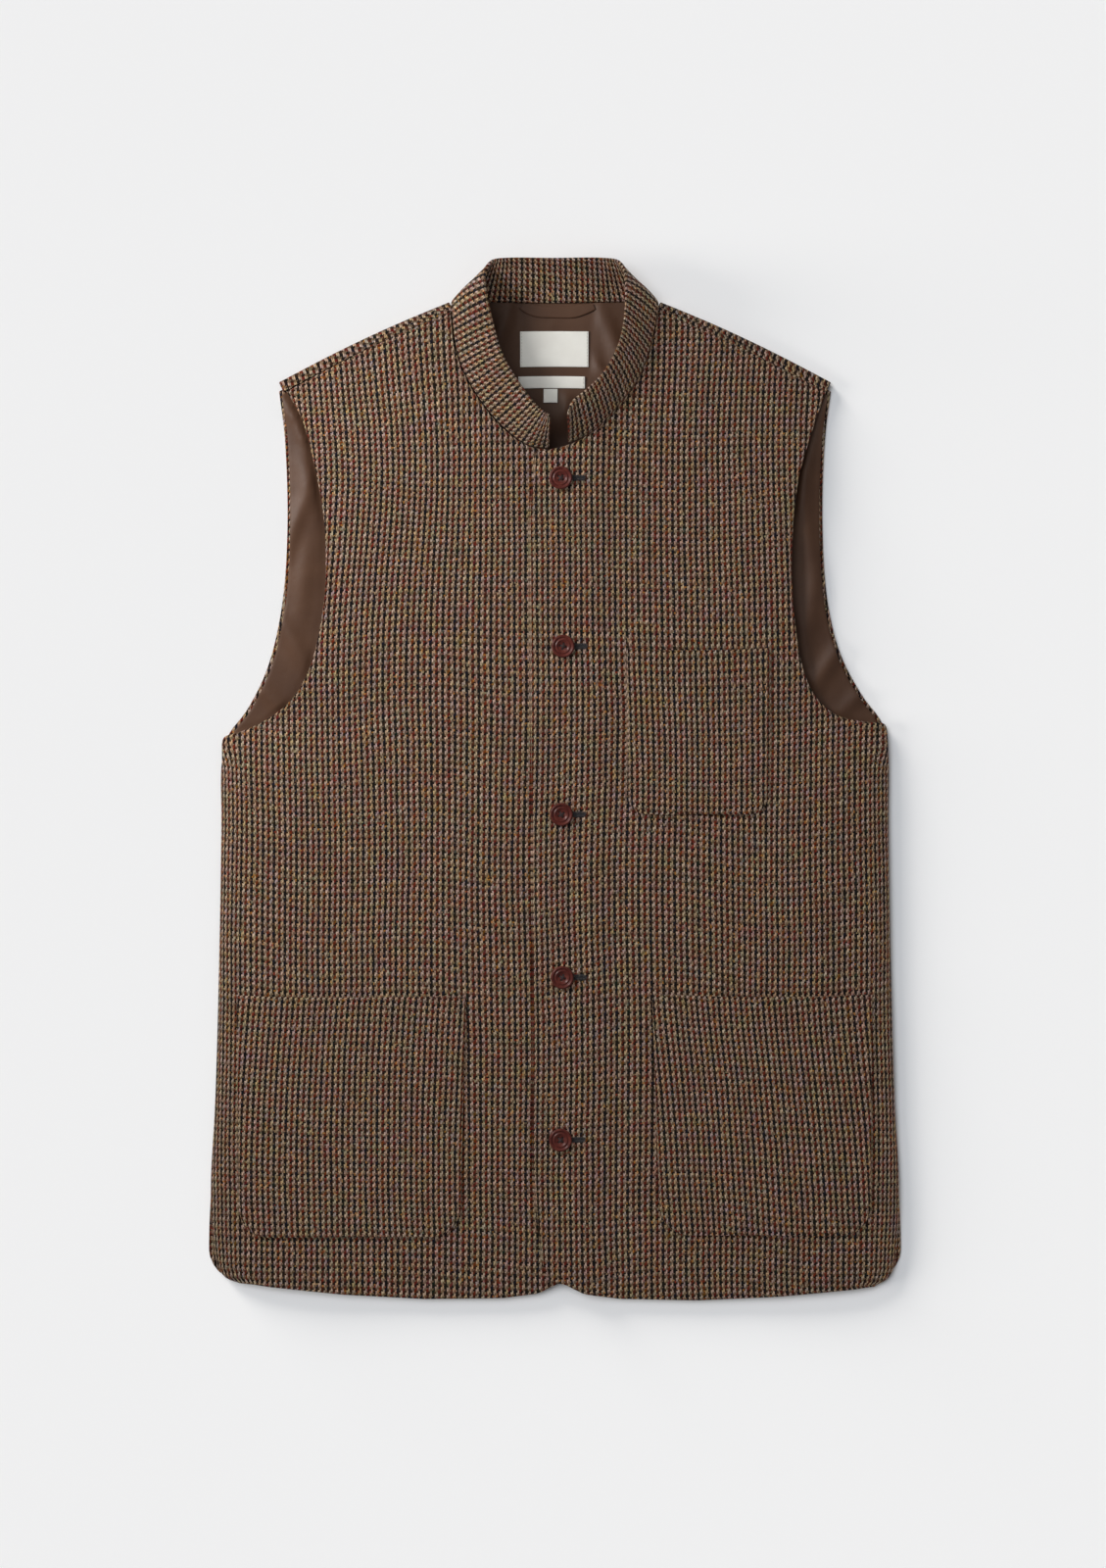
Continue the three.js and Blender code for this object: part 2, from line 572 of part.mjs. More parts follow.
function makeCollar() {
  const seamRows = COLLAR_SECTIONS.map((row) => {
    const side = Math.sign(row.seamX) || 1;
    const onFront = frontMiddle(row.seamX, row.seamY, side);
    return new THREE.Vector3(row.seamX, row.seamY, lerp(BACK_NECK_Z, onFront, row.front));
  });
  const seam = through(seamRows);
  const edge = through(COLLAR_SECTIONS.map((row) => new THREE.Vector3(row.edgeX, row.edgeY, 0)));
  const last = COLLAR_SECTIONS.length - 1;
  const distance = (row) => seam(row).distanceTo(seam(row + 1));
  const ends = [0.12, 0.32, 0.6];
  const inner = rowNumbers(COLLAR_SECTIONS.length, distance, COLLAR_STEP).slice(1, -1);
  const rows = [0, ...ends, ...inner, ...ends.map((near) => last - near).reverse(), last]
    .sort((a, b) => a - b)
    .filter((row, k, all) => k === 0 || row - all[k - 1] > 0.05);
  const points = rows.map((row) => {
    const foot = seam(row);
    const top = edge(row);
    const lean = Math.hypot(top.x - foot.x, top.y - foot.y);
    const stands = Math.sqrt(BAND_HEIGHT ** 2 - Math.min(lean, BAND_LEAN * BAND_HEIGHT) ** 2);
    top.z = foot.z + BAND_SETTLE * stands;
    const up = top.clone().sub(foot);
    const ahead = seam(Math.min(row + 0.05, last)).sub(seam(Math.max(row - 0.05, 0)));
    const outward = ahead.cross(up).normalize();
    const toEnd = Math.min(seam(0).distanceTo(foot), seam(last).distanceTo(foot));
    const short = BAND_CORNER - Math.min(toEnd, BAND_CORNER);
    const height = 1 - (BAND_CORNER - Math.sqrt(BAND_CORNER ** 2 - short ** 2)) / BAND_HEIGHT;
    return COLLAR_RINGS.map((ring) => {
      const share = ring * height;
      const bulge = BAND_BULGE * 4 * share * (1 - share);
      return foot.clone().addScaledVector(up, share).addScaledVector(outward, bulge);
    });
  });
  return clothWall(points, COLLAR_CLOTH);
}

// A patch pocket lies on its front, with round lower corners and a mouth that stands off a little
function makePocket(pocket) {
  const side = Math.sign(pocket.left + pocket.right);
  const radius = POCKET_CORNER[pocket.name];
  const height = pocket.top - pocket.bottom;
  const rise = [0, 0.08, 0.3, 0.62, 1].map((share) => share * radius);
  const evenRows = Math.round((height - radius) / POCKET_STEP);
  range(evenRows).forEach((k) => rise.push(lerp(radius, height, (k + 1) / evenRows)));
  const columns = Math.round((pocket.right - pocket.left) / POCKET_STEP);
  const points = rise.map((up) => {
    const share = up / height;
    const short = radius - Math.min(up, radius);
    const round = radius - Math.sqrt(radius ** 2 - short ** 2);
    const left = lerp(pocket.lowLeft, pocket.left, share) + round;
    const right = lerp(pocket.lowRight, pocket.right, share) - round;
    return range(columns + 1).map((i) => {
      const across = Math.sin((Math.PI * i) / columns);
      const x = lerp(left, right, i / columns);
      const y = pocket.bottom + up - POCKET_SAG * across * share ** 8;
      const lift = MOUTH_LIFT * across * Math.exp(-(height - up) / MOUTH_DEPTH);
      return new THREE.Vector3(x, y, frontTop(x, y, side) + POCKET_GAP + POCKET_CLOTH / 2 + lift);
    });
  });
  return clothWall(points, POCKET_CLOTH);
}

function makeButton() {
  const profile = BUTTON_PROFILE.map(
    (row) => new THREE.Vector2(row.out * BUTTON.radius, row.up * BUTTON.height),
  );
  const lathe = new THREE.LatheGeometry(profile, 16);
  lathe.rotateX(Math.PI / 2);
  const body = toSolid(lathe);
  const holes = [45, 135, 225, 315].map((angle) => {
    const hole = new THREE.CylinderGeometry(BUTTON.holeRadius, BUTTON.holeRadius, 4 * BUTTON.height, 6);
    hole.rotateX(Math.PI / 2);
    const reach = BUTTON.holeReach * Math.SQRT2;
    hole.translate(reach * Math.cos(degToRad(angle)), reach * Math.sin(degToRad(angle)), 0);
    return toSolid(hole);
  });
  return toGeometry(holes.reduce((whole, hole) => whole.subtract(hole), body));
}

// The lowest height at which a flat disc lies clear of the front below it
function buttonSeat(x, y) {
  const around = range(8).map((k) => (k * Math.PI) / 4);
  const heights = around.map((turn) => frontTop(
    x + BUTTON.radius * Math.cos(turn),
    y + BUTTON.radius * Math.sin(turn),
    1,
  ));
  return Math.max(frontTop(x, y, 1), ...heights) + SEAM_GAP;
}

function makeLabel(label) {
  const columns = Math.max(2, Math.round(label.wide / 9));
  const points = range(3).map((j) => range(columns + 1).map((i) => {
    const across = i / columns - 0.5;
    const lift = label.curl * 4 * across ** 2 * (j / 2);
    const x = label.x + label.wide * across;
    const y = label.y + label.high * (j / 2 - 0.5) - label.curl * 2 * across ** 2;
    return new THREE.Vector3(x, y, INSIDE_Z + LABEL_CLOTH / 2 + lift);
  }));
  return clothWall(points, LABEL_CLOTH);
}

function makeLoop() {
  const path = new THREE.CatmullRomCurve3(LOOP_PATH.map((row) => new THREE.Vector3(row.x, row.y, 0)));
  const steps = 18;
  const points = range(3).map((j) => range(steps + 1).map((i) => {
    const centre = path.getPointAt(i / steps);
    const ahead = path.getTangentAt(i / steps);
    const across = (j / 2 - 0.5) * LOOP_WIDTH;
    const atEnds = Math.min(1, Math.abs(2 * (i / steps) - 1) ** 4);
    const y = Math.min(centre.y + ahead.x * across, LOOP_TOP_Y);
    return new THREE.Vector3(centre.x - ahead.y * across, y - 0.02 * (2 - j) * atEnds, INSIDE_Z + LOOP_CLOTH / 2);
  }));
  return clothWall(points, LOOP_CLOTH);
}

const tweed = { color: 0x5f4c3e, roughness: 0.95, metalness: 0 };
const satin = { color: 0x4d372b, roughness: 0.45, metalness: 0 };
const horn = { color: 0x5a2622, roughness: 0.3, metalness: 0 };
const woven = { color: 0xc9c8c2, roughness: 0.7, metalness: 0 };

function piece(name, geometry, finish) {
  geometry.computeVertexNormals();
  const mesh = new THREE.Mesh(geometry, new THREE.MeshStandardMaterial(finish));
  mesh.name = name;
  return mesh;
}

const waistcoat = new THREE.Group();
waistcoat.add(piece("back", makeBack(), tweed));
waistcoat.add(piece("back_lining", makeLining(), satin));
waistcoat.add(piece("front_right", makeFront(-1), tweed));
waistcoat.add(piece("front_left", makeFront(1), tweed));
waistcoat.add(piece("collar", makeCollar(), tweed));
POCKETS.forEach((pocket) => waistcoat.add(piece(pocket.name, makePocket(pocket), tweed)));
BUTTONS.forEach((row, k) => {
  const button = piece(`button_${k + 1}`, makeButton(), horn);
  button.position.set(row.x, row.y, buttonSeat(row.x, row.y));
  button.rotation.z = degToRad(row.turn);
  waistcoat.add(button);
});
waistcoat.add(piece("hanger_loop", makeLoop(), satin));
LABELS.forEach((label) => waistcoat.add(piece(label.name, makeLabel(label), woven)));

export default waistcoat;
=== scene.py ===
"""A tweed waistcoat with a band collar, buttoned up and laid flat with its front up.

Sizes are in millimetres in the tables and in metres in Blender. +X is the wearer's left, +Y runs from
the hem to the collar and +Z is up from the floor.
"""
import math

import bpy
from mathutils import Matrix, Vector, noise


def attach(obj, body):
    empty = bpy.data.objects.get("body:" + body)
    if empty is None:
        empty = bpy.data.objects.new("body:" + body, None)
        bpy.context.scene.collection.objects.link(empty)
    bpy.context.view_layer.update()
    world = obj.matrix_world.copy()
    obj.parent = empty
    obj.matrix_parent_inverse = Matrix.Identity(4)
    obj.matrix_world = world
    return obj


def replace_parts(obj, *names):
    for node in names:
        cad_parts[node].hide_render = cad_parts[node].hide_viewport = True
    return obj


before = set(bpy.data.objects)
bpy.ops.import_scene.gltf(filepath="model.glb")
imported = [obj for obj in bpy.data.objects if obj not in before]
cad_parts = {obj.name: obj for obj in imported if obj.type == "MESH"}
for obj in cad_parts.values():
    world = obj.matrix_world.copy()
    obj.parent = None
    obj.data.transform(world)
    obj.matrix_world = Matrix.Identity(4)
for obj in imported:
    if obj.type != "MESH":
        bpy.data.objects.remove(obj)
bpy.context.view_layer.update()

MM = 0.001
BODY = "root"

# Cloth thicknesses, and the gap that seams and layers keep
BACK_CLOTH = 1.8
FRONT_CLOTH = 2.0
COLLAR_CLOTH = 2.6
POCKET_CLOTH = 1.5
LINING_CLOTH = 0.6
LABEL_CLOTH = 0.5
LOOP_CLOTH = 1.0
SEAM_GAP = 0.3
LAP_GAP = 0.48
LINING_Z = BACK_CLOTH + SEAM_GAP
INSIDE_Z = LINING_Z + LINING_CLOTH + SEAM_GAP

# How the fronts lie over the back and over each other
LAP = {"rise": FRONT_CLOTH + LAP_GAP, "end": 29, "ramp": 17}
CROWN = {"rise": 1.8, "width": 45, "hem": -404}
SIDE_DROP = {"depth": INSIDE_Z - LINING_Z, "width": 12, "fades": 6, "ends": 26}
NECK = {"y": 335, "half_width": 78, "half_height": 92, "rise": 7, "fade": 0.85}
ARMHOLE = {"rise": 6, "starts": 40, "full": 84, "fades": 225, "ends": 284, "reach": 52}
SIDE_ROLL = {"rise": 3.6, "width": 8, "fades": 40, "ends": 140, "armhole": -2, "top": 44, "above_hem": 60}
UNEVEN = {"height": 0.22, "size": 46}

# Distances between two points of the cloth meshes, and the share of its half thickness that a rim takes up
CLOTH_STEP = 3.4
BACK_STEP = 6.0
LINING_STEP = 2.9
COLLAR_STEP = 1.9
POCKET_STEP = 2.6
LABEL_STEP = 1.6
RIM_SHARE = 0.9


def table(columns, rows):
    """Rows of numbers under named columns."""
    names = columns.split()
    return [dict(zip(names, row)) for row in rows]


# The side of the back from its hem corner, up the side and the armhole, to the tip of the shoulder
BACK_SIDE = table("x y", [
    (238, -370), (249, -364), (255.5, -353), (256.2, -338), (254.6, -300), (251.5, -240),
    (248.6, -140), (246.9, -40), (246.6, 22), (241.5, 41), (229, 55.5), (213.4, 84),
    (202.5, 127), (198.2, 185), (200.2, 252), (204.4, 288),
])
UNDERARM_ROW = 8

# The wearer's left armhole starts higher at the side than the right one
LEFT_ARMHOLE = {"lift": 10, "y": 50, "reach": 55, "power": 6}

# The shoulder's outline from the neck to the tip, and the strip of back cloth rolled over it
SHOULDER = {"neck_x": 79.6, "neck_y": 352.6, "tip_x": 204.4, "tip_y": 294.4, "bow": 2.4}
SHOULDER_STRIP = 7.2
ROLL = {"starts": -0.012, "steps": 48, "tuck": 1.1, "from": 11, "turn": 15, "stretch": 0.35, "back_cut": 6}

# The neck edge of the back, which is tucked under the foot of the collar
NECK_EDGE = {"y": 352.6, "rise": 2.6, "half": 74, "power": 8}

# Sections across a front, from the hem up. Distances run outwards from the middle, on the front's own side.
FRONT_COLUMNS = "inner inner_y outer outer_y"
LEFT_FRONT = table(FRONT_COLUMNS, [
    (-4.4, -370.4, 236, -373.6),
    (-7.4, -364, 245, -369.4),
    (-9.2, -356, 250, -362),
    (-13.2, -322, 254, -328),
    (-15.9, -292, 254.3, -296),
    (-16.4, -240, 251.3, -240),
    (-16.6, -140, 248.4, -140),
    (-17.1, -40, 246.7, -36),
    (-17.5, 5, 246.3, 29),
    (-17.6, 17, 244, 41.4),
    (-17.7, 29, 231, 43),
    (-17.9, 49, 209, 48),
    (-18, 66, 195.4, 58.6),
    (-18.1, 85, 185.2, 76.5),
    (-18.3, 140, 176.2, 128),
    (-18.4, 200, 175.8, 186),
    (-14.1, 242, 180.8, 227),
    (0, 244.4, 182.8, 234),
    (14, 248.6, 185.2, 242),
    (29.8, 258.4, 188, 251),
    (46.5, 275.8, 190.8, 259.6),
    (61, 294.9, 193.8, 268.4),
    (69.3, 316, 196.4, 275.8),
    (76.6, 345.4, 200.4, 287.1),
])
RIGHT_FRONT = table(FRONT_COLUMNS, [
    (-13.6, -370.4, 233, -371.4),
    (-16.6, -364, 243.4, -367.8),
    (-18.4, -356, 249, -360),
    (-22.4, -322, 253.6, -332),
    (-25.1, -292, 254.3, -296),
    (-25.6, -240, 251.3, -240),
    (-25.7, -140, 248.4, -140),
    (-25.8, -40, 246.7, -40),
    (-25.9, 5, 246.3, 14),
    (-26, 19, 245, 31.4),
    (-26, 31, 235.1, 34.8),
    (-26, 51, 214.8, 43.9),
    (-26, 68, 196.4, 58),
    (-26, 89, 182.2, 80.3),
    (-26, 140, 170.7, 131),
    (-26, 200, 170, 186),
    (-25, 240.4, 176.6, 228),
    (-10, 240.6, 178.4, 236),
    (3, 243.4, 180.2, 243.6),
    (19.2, 246.2, 182, 251),
    (35.3, 257, 184.6, 259.4),
    (51.5, 274.6, 187.4, 267),
    (65.5, 297.1, 190.8, 274.4),
    (72.8, 316.7, 194, 280),
    (77, 345, 198.6, 287.4),
])
NECK_ROW = 16
END_FADE = 6

# The curve of a front's hem below the straight line between its corners
HEM_DIP = table("outward dip", [
    (0, 0), (12, 2.4), (26, 9.2), (52, 12.6), (110, 13), (170, 9.4), (225, 3.4), (246, 0),
])

# Broad soft folds of the fronts: a ridge where lift is positive, a trough where it is negative
FOLDS = table("x y turn long wide lift", [
    (-122, 150, 84, 150, 34, 0.8),
    (-72, 110, 97, 120, 26, -0.5),
    (-150, -62, 6, 96, 34, -0.7),
    (-190, -110, 116, 78, 27, 0.5),
    (-66, -240, 85, 110, 27, -0.5),
    (92, 192, 71, 100, 30, 0.6),
    (150, 20, 104, 90, 28, -0.5),
    (112, -84, -13, 104, 34, 0.5),
    (190, -100, 62, 74, 27, 0.5),
    (62, -232, 95, 110, 27, 0.5),
])

# The band collar, from its end at the left front round the back to its end at the right front.
# front is 1 where the seam is on a front and 0 where it is on the back.
BAND = {"height": 36, "lean": 0.95, "settle": 0.8, "bulge": 2.4, "corner": 9, "back_z": 3.4, "rings": 18}
BAND_END_ROWS = [0.03, 0.07, 0.12, 0.2, 0.32, 0.46, 0.6, 0.8]
COLLAR = table("seam_x seam_y edge_x edge_y front", [
    (9.8, 249.2, 9, 272, 1),
    (18.8, 252.6, 13.6, 278.4, 1),
    (30, 259.6, 22.4, 285.6, 1),
    (46, 276.8, 35.6, 299, 1),
    (60.2, 295.6, 45.8, 318, 1),
    (68.4, 316.4, 50, 334.5, 1),
    (75.2, 346.2, 51.6, 361.5, 1),
    (75.4, 352.6, 51.2, 369.5, 0.45),
    (69, 354.2, 50.2, 376.6, 0),
    (58, 354, 45.8, 382.6, 0),
    (36, 353.7, 34, 384.3, 0),
    (0, 352.9, 0, 384.3, 0),
    (-36, 353.7, -34, 384.3, 0),
    (-58, 354, -45.6, 382.8, 0),
    (-70, 354.2, -50, 376.8, 0),
    (-75.6, 352.6, -51, 369, 0.45),
    (-75.4, 345.8, -50.2, 359.5, 1),
    (-71.9, 316.9, -43.6, 329.4, 1),
    (-64.7, 297.6, -38.2, 312.4, 1),
    (-50.8, 275.4, -27.2, 293.6, 1),
    (-34.6, 258, -14, 275.6, 1),
    (-19.2, 247.4, -6, 268.6, 1),
    (-4.2, 245.2, -3.4, 268, 1),
])

# Patch pockets. lean is how far their stripes drift outwards for each millimetre down, and turn_back
# how much less they do so at the bottom.
POCKETS = [
    {"node": "chest_pocket", "left": 53, "right": 158.6, "low_left": 54.4, "low_right": 157,
     "top": 97.4, "bottom": -25.4, "corner": 13, "lean": 0.01, "turn_back": 0},
    {"node": "hip_pocket_right", "left": -235, "right": -66, "low_left": -233, "low_right": -70,
     "top": -159, "bottom": -337.6, "corner": 22, "lean": 0.09, "turn_back": 0.13},
    {"node": "hip_pocket_left", "left": 71.8, "right": 234.4, "low_left": 78, "low_right": 233,
     "top": -158.4, "bottom": -336.4, "corner": 22, "lean": 0.085, "turn_back": 0.01},
]
MOUTH = {"sag": 1.6, "fade": 8, "lift": 1.9, "depth": 12}
POCKET_GAP = 0.42
POCKET_CORNER_ROWS = 12
POCKET_GRAIN = {"x": 31, "y": 17}

# Four-hole buttons down the lap, each with its buttonhole beside it
BUTTON = {"radius": 8.5, "height": 3, "hole": 0.85, "reach": 1.45, "segments": 64}
HOLE_CUTTER = {"low": -2, "high": 6, "segments": 20}
BUTTON_THREAD = {
    "points": 16, "apart": 0.34, "slant": 0.7, "wide": 1.02, "thick": 0.2,
    "rise": 0.62, "cross": 0.1, "round": 0.6, "dive": 1.3, "steep": 8,
}
SHANK = {"turns": 3, "points": 24, "radius": 1.5, "low": -0.12, "apart": 0.16, "thick": 0.16}
BUTTONS = table("x y turn", [
    (4.3, 222.6, 8), (6, 98.8, 31), (4.8, -25.4, -12), (5.5, -145.7, 22), (4.2, -265.7, 3),
])
BUTTON_PROFILE = table("out up", [
    (0, 0), (0.7, 0), (0.86, 0.06), (0.97, 0.24), (1, 0.46), (0.985, 0.7), (0.94, 0.9),
    (0.87, 0.98), (0.8, 0.88), (0.75, 0.68), (0.7, 0.6), (0.65, 0.66), (0.6, 0.8), (0.55, 0.82),
    (0.5, 0.7), (0.44, 0.55), (0.36, 0.5), (0, 0.5),
])

# The lining inside the back, and what is sewn on it
LINING = {
    "armhole_inset": 2.4, "armhole_from": 8, "armhole_full": 48,
    "side_inset": 17, "hem_y": -346, "shoulder_inset": 10,
}
LINING_NECK = {"y": 352.9, "rise": 1.6, "leaves": 22, "meets": 0}
LABELS = [
    {"node": "main_label", "x": -0.4, "y": 319, "wide": 50.6, "high": 26.3, "curl": 0.5},
    {"node": "strip_label", "x": -2.4, "y": 294.5, "wide": 49.3, "high": 8.8, "curl": 0.8},
    {"node": "size_tab", "x": -3.2, "y": 284.4, "wide": 10.3, "high": 10.2, "curl": 0.2},
]
LOOP = {"width": 8.5, "top_y": 352.2, "steps": 60, "rows": 6, "apart": 0.04}
LOOP_PATH = table("x y", [
    (-24, 352.2), (-19.6, 349.2), (-13, 346.9), (-1, 346.3), (14, 346.4), (21.6, 348.8), (28.6, 352),
])

# The warp and the weft: the distance between two threads
WARP_PITCH = 1.033
WEFT_PITCH = 1.255


def lerp(start, end, share):
    return start + (end - start) * share


def smoothstep(value, low, high):
    share = min(max((value - low) / (high - low), 0), 1)
    return share * share * (3 - 2 * share)


def read_table(rows, place, value, at):
    """The value at a place in a table, on straight lines between its rows."""
    if at <= rows[0][place]:
        return rows[0][value]
    for before, after in zip(rows, rows[1:]):
        if after[place] > at:
            share = (at - before[place]) / (after[place] - before[place])
            return lerp(before[value], after[value], share)
    return rows[-1][value]


def through(points, corners=()):
    """A smooth curve through points, broken at corners, as a function of the row number."""
    breaks = [0, *corners, len(points) - 1]

    def tangent(a, b, c, first, second):
        return (b - a) / first - (c - a) / (first + second) + (c - b) / second

    def at(row):
        part = max(k for k in range(len(breaks) - 1) if breaks[k] <= row or k == 0)
        run = points[breaks[part]:breaks[part + 1] + 1]
        local = min(max(row - breaks[part], 0), len(run) - 1)
        start = min(int(local), len(run) - 2)
        near, far = run[start], run[start + 1]
        before = run[start - 1] if start > 0 else 2 * near - far
        after = run[start + 2] if start + 2 < len(run) else 2 * far - near
        gaps = [max((b - a).length, 1e-6) ** 0.5 for a, b in ((before, near), (near, far), (far, after))]
        leave = tangent(before, near, far, gaps[0], gaps[1]) * gaps[1]
        arrive = tangent(near, far, after, gaps[1], gaps[2]) * gaps[1]
        t = local - start
        return (near + leave * t + (3 * (far - near) - 2 * leave - arrive) * t ** 2
                + (2 * (near - far) + leave + arrive) * t ** 3)

    return at


def row_numbers(count, distance, step):
    """Row numbers about a step apart, with every row of the table among them."""
    rows = [0]
    for row in range(count - 1):
        parts = max(1, round(distance(row) / step))
        rows += [row + (part + 1) / parts for part in range(parts)]
    return rows


def mesh_piece(name, points, faces, material, weave=None, smooth=True):
    """A mesh object at the origin, with its place in its mesh. Points are in millimetres."""
    mesh = bpy.data.meshes.new(name)
    mesh.from_pydata([Vector(point) * MM for point in points], [], faces)
    if weave:
        layer = mesh.uv_layers.new(name="weave")
        for loop in mesh.loops:
            layer.data[loop.index].uv = weave[loop.vertex_index]
    mesh.polygons.foreach_set("use_smooth", [smooth] * len(mesh.polygons))
    mesh.materials.append(material)
    mesh.validate()
    piece = bpy.data.objects.new(name, mesh)
    bpy.context.collection.objects.link(piece)
    return piece


RIM_ANGLES = [math.radians(angle) for angle in (54, 18, -18, -54)]


def cloth_wall(grid, thickness, weave):
    """Points, faces and weave places of a closed wall of cloth round a grid of points on its middle.

    Both skins stop short of the border, and a rounded rim joins them.
    """
    rows, columns = len(grid), len(grid[0])
    points, places, faces = [], [], []

    def add(point, j, i, past=0):
        points.append(point)
        place = Vector(weave[j][i])
        inner = Vector(weave[min(max(j, 1), rows - 2)][min(max(i, 1), columns - 2)])
        places.append((place + (place - inner).normalized() * past) * MM)
        return len(points) - 1

    def at(j, i):
        return grid[min(max(j, 0), rows - 1)][min(max(i, 0), columns - 1)]

    def frame_at(j, i):
        across = at(j, i + 1) - at(j, i - 1)
        along = at(j + 1, i) - at(j - 1, i)
        normal = across.cross(along).normalized()
        inward = Vector()
        borders = (i == 0, i == columns - 1, j == 0, j == rows - 1)
        for border, way in zip(borders, (across, -across, along, -along)):
            if border:
                inward += way.normalized()
        return normal, inward

    half = thickness / 2
    upper, lower, middle = {}, {}, {}
    for j in range(rows):
        for i in range(columns):
            normal, inward = frame_at(j, i)
            centre = grid[j][i] + inward * half * RIM_SHARE
            upper[j, i] = add(centre + normal * half, j, i)
            lower[j, i] = add(centre - normal * half, j, i)
            if inward.length > 0:
                middle[j, i] = (centre, normal, -inward)
    for j in range(rows - 1):
        for i in range(columns - 1):
            corners = ((j, i), (j, i + 1), (j + 1, i + 1), (j + 1, i))
            faces.append([upper[corner] for corner in corners])
            faces.append([lower[corner] for corner in reversed(corners)])
    round_it = [(0, i) for i in range(columns - 1)]
    round_it += [(j, columns - 1) for j in range(rows - 1)]
    round_it += [(rows - 1, columns - 1 - i) for i in range(columns - 1)]
    round_it += [(rows - 1 - j, 0) for j in range(rows - 1)]
    rings = []
    for j, i in round_it:
        centre, normal, outward = middle[j, i]
        ring = [upper[j, i]]
        for angle in RIM_ANGLES:
            reach = outward * half * RIM_SHARE * math.cos(angle) + normal * half * math.sin(angle)
            ring.append(add(centre + reach, j, i, half * (math.pi / 2 - angle)))
        rings.append(ring + [lower[j, i]])
    for k, ring in enumerate(rings):
        after = rings[(k + 1) % len(rings)]
        for n in range(len(ring) - 1):
            faces.append((ring[n], ring[n + 1], after[n + 1], after[n]))
    return points, faces, places


def area_of(grid):
    """The area in square metres of a grid of points in millimetres."""
    total = 0
    for low, high in zip(grid, grid[1:]):
        for a, b, c, d in zip(low, low[1:], high[1:], high):
            total += ((b - a).cross(d - a).length + (b - c).cross(d - c).length) / 2
    return total * MM ** 2


def unevenness(x, y, seed=0):
    """The slight waves of cloth that was worn and smoothed down by hand."""
    place = Vector((x, y, 37 * seed)) / UNEVEN["size"]
    return UNEVEN["height"] * (noise.noise(place) + 0.5 * noise.noise(place * 2.3))


def fold_at(x, y):
    total = 0
    for fold in FOLDS:
        turn = math.radians(fold["turn"])
        along = (x - fold["x"]) * math.cos(turn) + (y - fold["y"]) * math.sin(turn)
        across = (y - fold["y"]) * math.cos(turn) - (x - fold["x"]) * math.sin(turn)
        total += fold["lift"] * math.exp(-(across / fold["wide"]) ** 2 - (along / fold["long"]) ** 4)
    return total


def neck_rise(x, y):
    outside = math.hypot(x / NECK["half_width"], (y - NECK["y"]) / NECK["half_height"]) - 1
    return NECK["rise"] * math.exp(-(max(outside, 0) / NECK["fade"]) ** 2)


def from_side(x, y, side):
    """How far a point of a front lies in from its side edge."""
    return read_table(LEFT_FRONT if side > 0 else RIGHT_FRONT, "outer_y", "outer", y) - side * x


def side_roll(inward, y):
    """How far the side of a front stands up before it turns down to the side seam."""
    near = 1 - min(max(inward / SIDE_ROLL["width"], 0), 1)
    round_edge = math.sqrt(1 - near ** 2)
    fade = 1 - smoothstep(inward, SIDE_ROLL["fades"], SIDE_ROLL["ends"])
    below_armhole = 1 - smoothstep(y, SIDE_ROLL["armhole"], SIDE_ROLL["top"])
    above_hem = smoothstep(y, CROWN["hem"], CROWN["hem"] + SIDE_ROLL["above_hem"])
    return SIDE_ROLL["rise"] * round_edge * fade * below_armhole * above_hem


def armhole_rise(inward, y):
    """The free edge of a front stands off the lining along the armhole."""
    starts = smoothstep(y, ARMHOLE["starts"], ARMHOLE["full"])
    ends = smoothstep(y, ARMHOLE["fades"], ARMHOLE["ends"])
    return ARMHOLE["rise"] * starts * (1 - ends) * math.exp(-(inward / ARMHOLE["reach"]) ** 2)


def front_under(x, y, side):
    """How high a front's underside lies, over the lining and the other front."""
    inward = from_side(x, y, side)
    hem = smoothstep(y, CROWN["hem"], CROWN["hem"] + CROWN["width"])
    crown = smoothstep(inward, 0, CROWN["width"]) * hem
    at_side = 1 - smoothstep(inward, 0, SIDE_DROP["width"])
    drop = at_side * (1 - smoothstep(y, SIDE_DROP["fades"], SIDE_DROP["ends"]))
    lap = 1 - smoothstep(x, LAP["end"], LAP["end"] + LAP["ramp"]) if side > 0 else 0
    lift = CROWN["rise"] + fold_at(x, y) + unevenness(x, y)
    rise = side_roll(inward, y) + neck_rise(x, y) + armhole_rise(inward, y)
    return INSIDE_Z + crown * lift + rise - SIDE_DROP["depth"] * drop + LAP["rise"] * lap


def front_top(x, y, side):
    return front_under(x, y, side) + FRONT_CLOTH


# How the stripes run: they lean out on the chest and at the shoulders, and crowd where a side turns down
CHEST_LEAN = {"drift": 5, "from": 235, "to": 100, "starts": 0, "full": 150}
SHOULDER_LEAN = {"drift": 5.5, "from": 235, "to": 345}
SIDE_CROWD = {"extra": 8, "width": 22, "power": 2.2}


def front_weave(x, y, side):
    """Where a point of a front lies on its cloth before the front was cut, in millimetres."""
    outward = side * x
    share = smoothstep(outward, CHEST_LEAN["starts"], CHEST_LEAN["full"])
    chest = CHEST_LEAN["drift"] * smoothstep(-y, -CHEST_LEAN["from"], -CHEST_LEAN["to"])
    shoulder = SHOULDER_LEAN["drift"] * smoothstep(y, SHOULDER_LEAN["from"], SHOULDER_LEAN["to"])
    outward -= share * (chest + shoulder)
    near = 1 - min(max(from_side(x, y, side) / SIDE_CROWD["width"], 0), 1)
    fade = 1 - smoothstep(y, SIDE_DROP["fades"], SIDE_DROP["ends"])
    outward += SIDE_CROWD["extra"] * fade * near ** SIDE_CROWD["power"]
    return side * outward, y


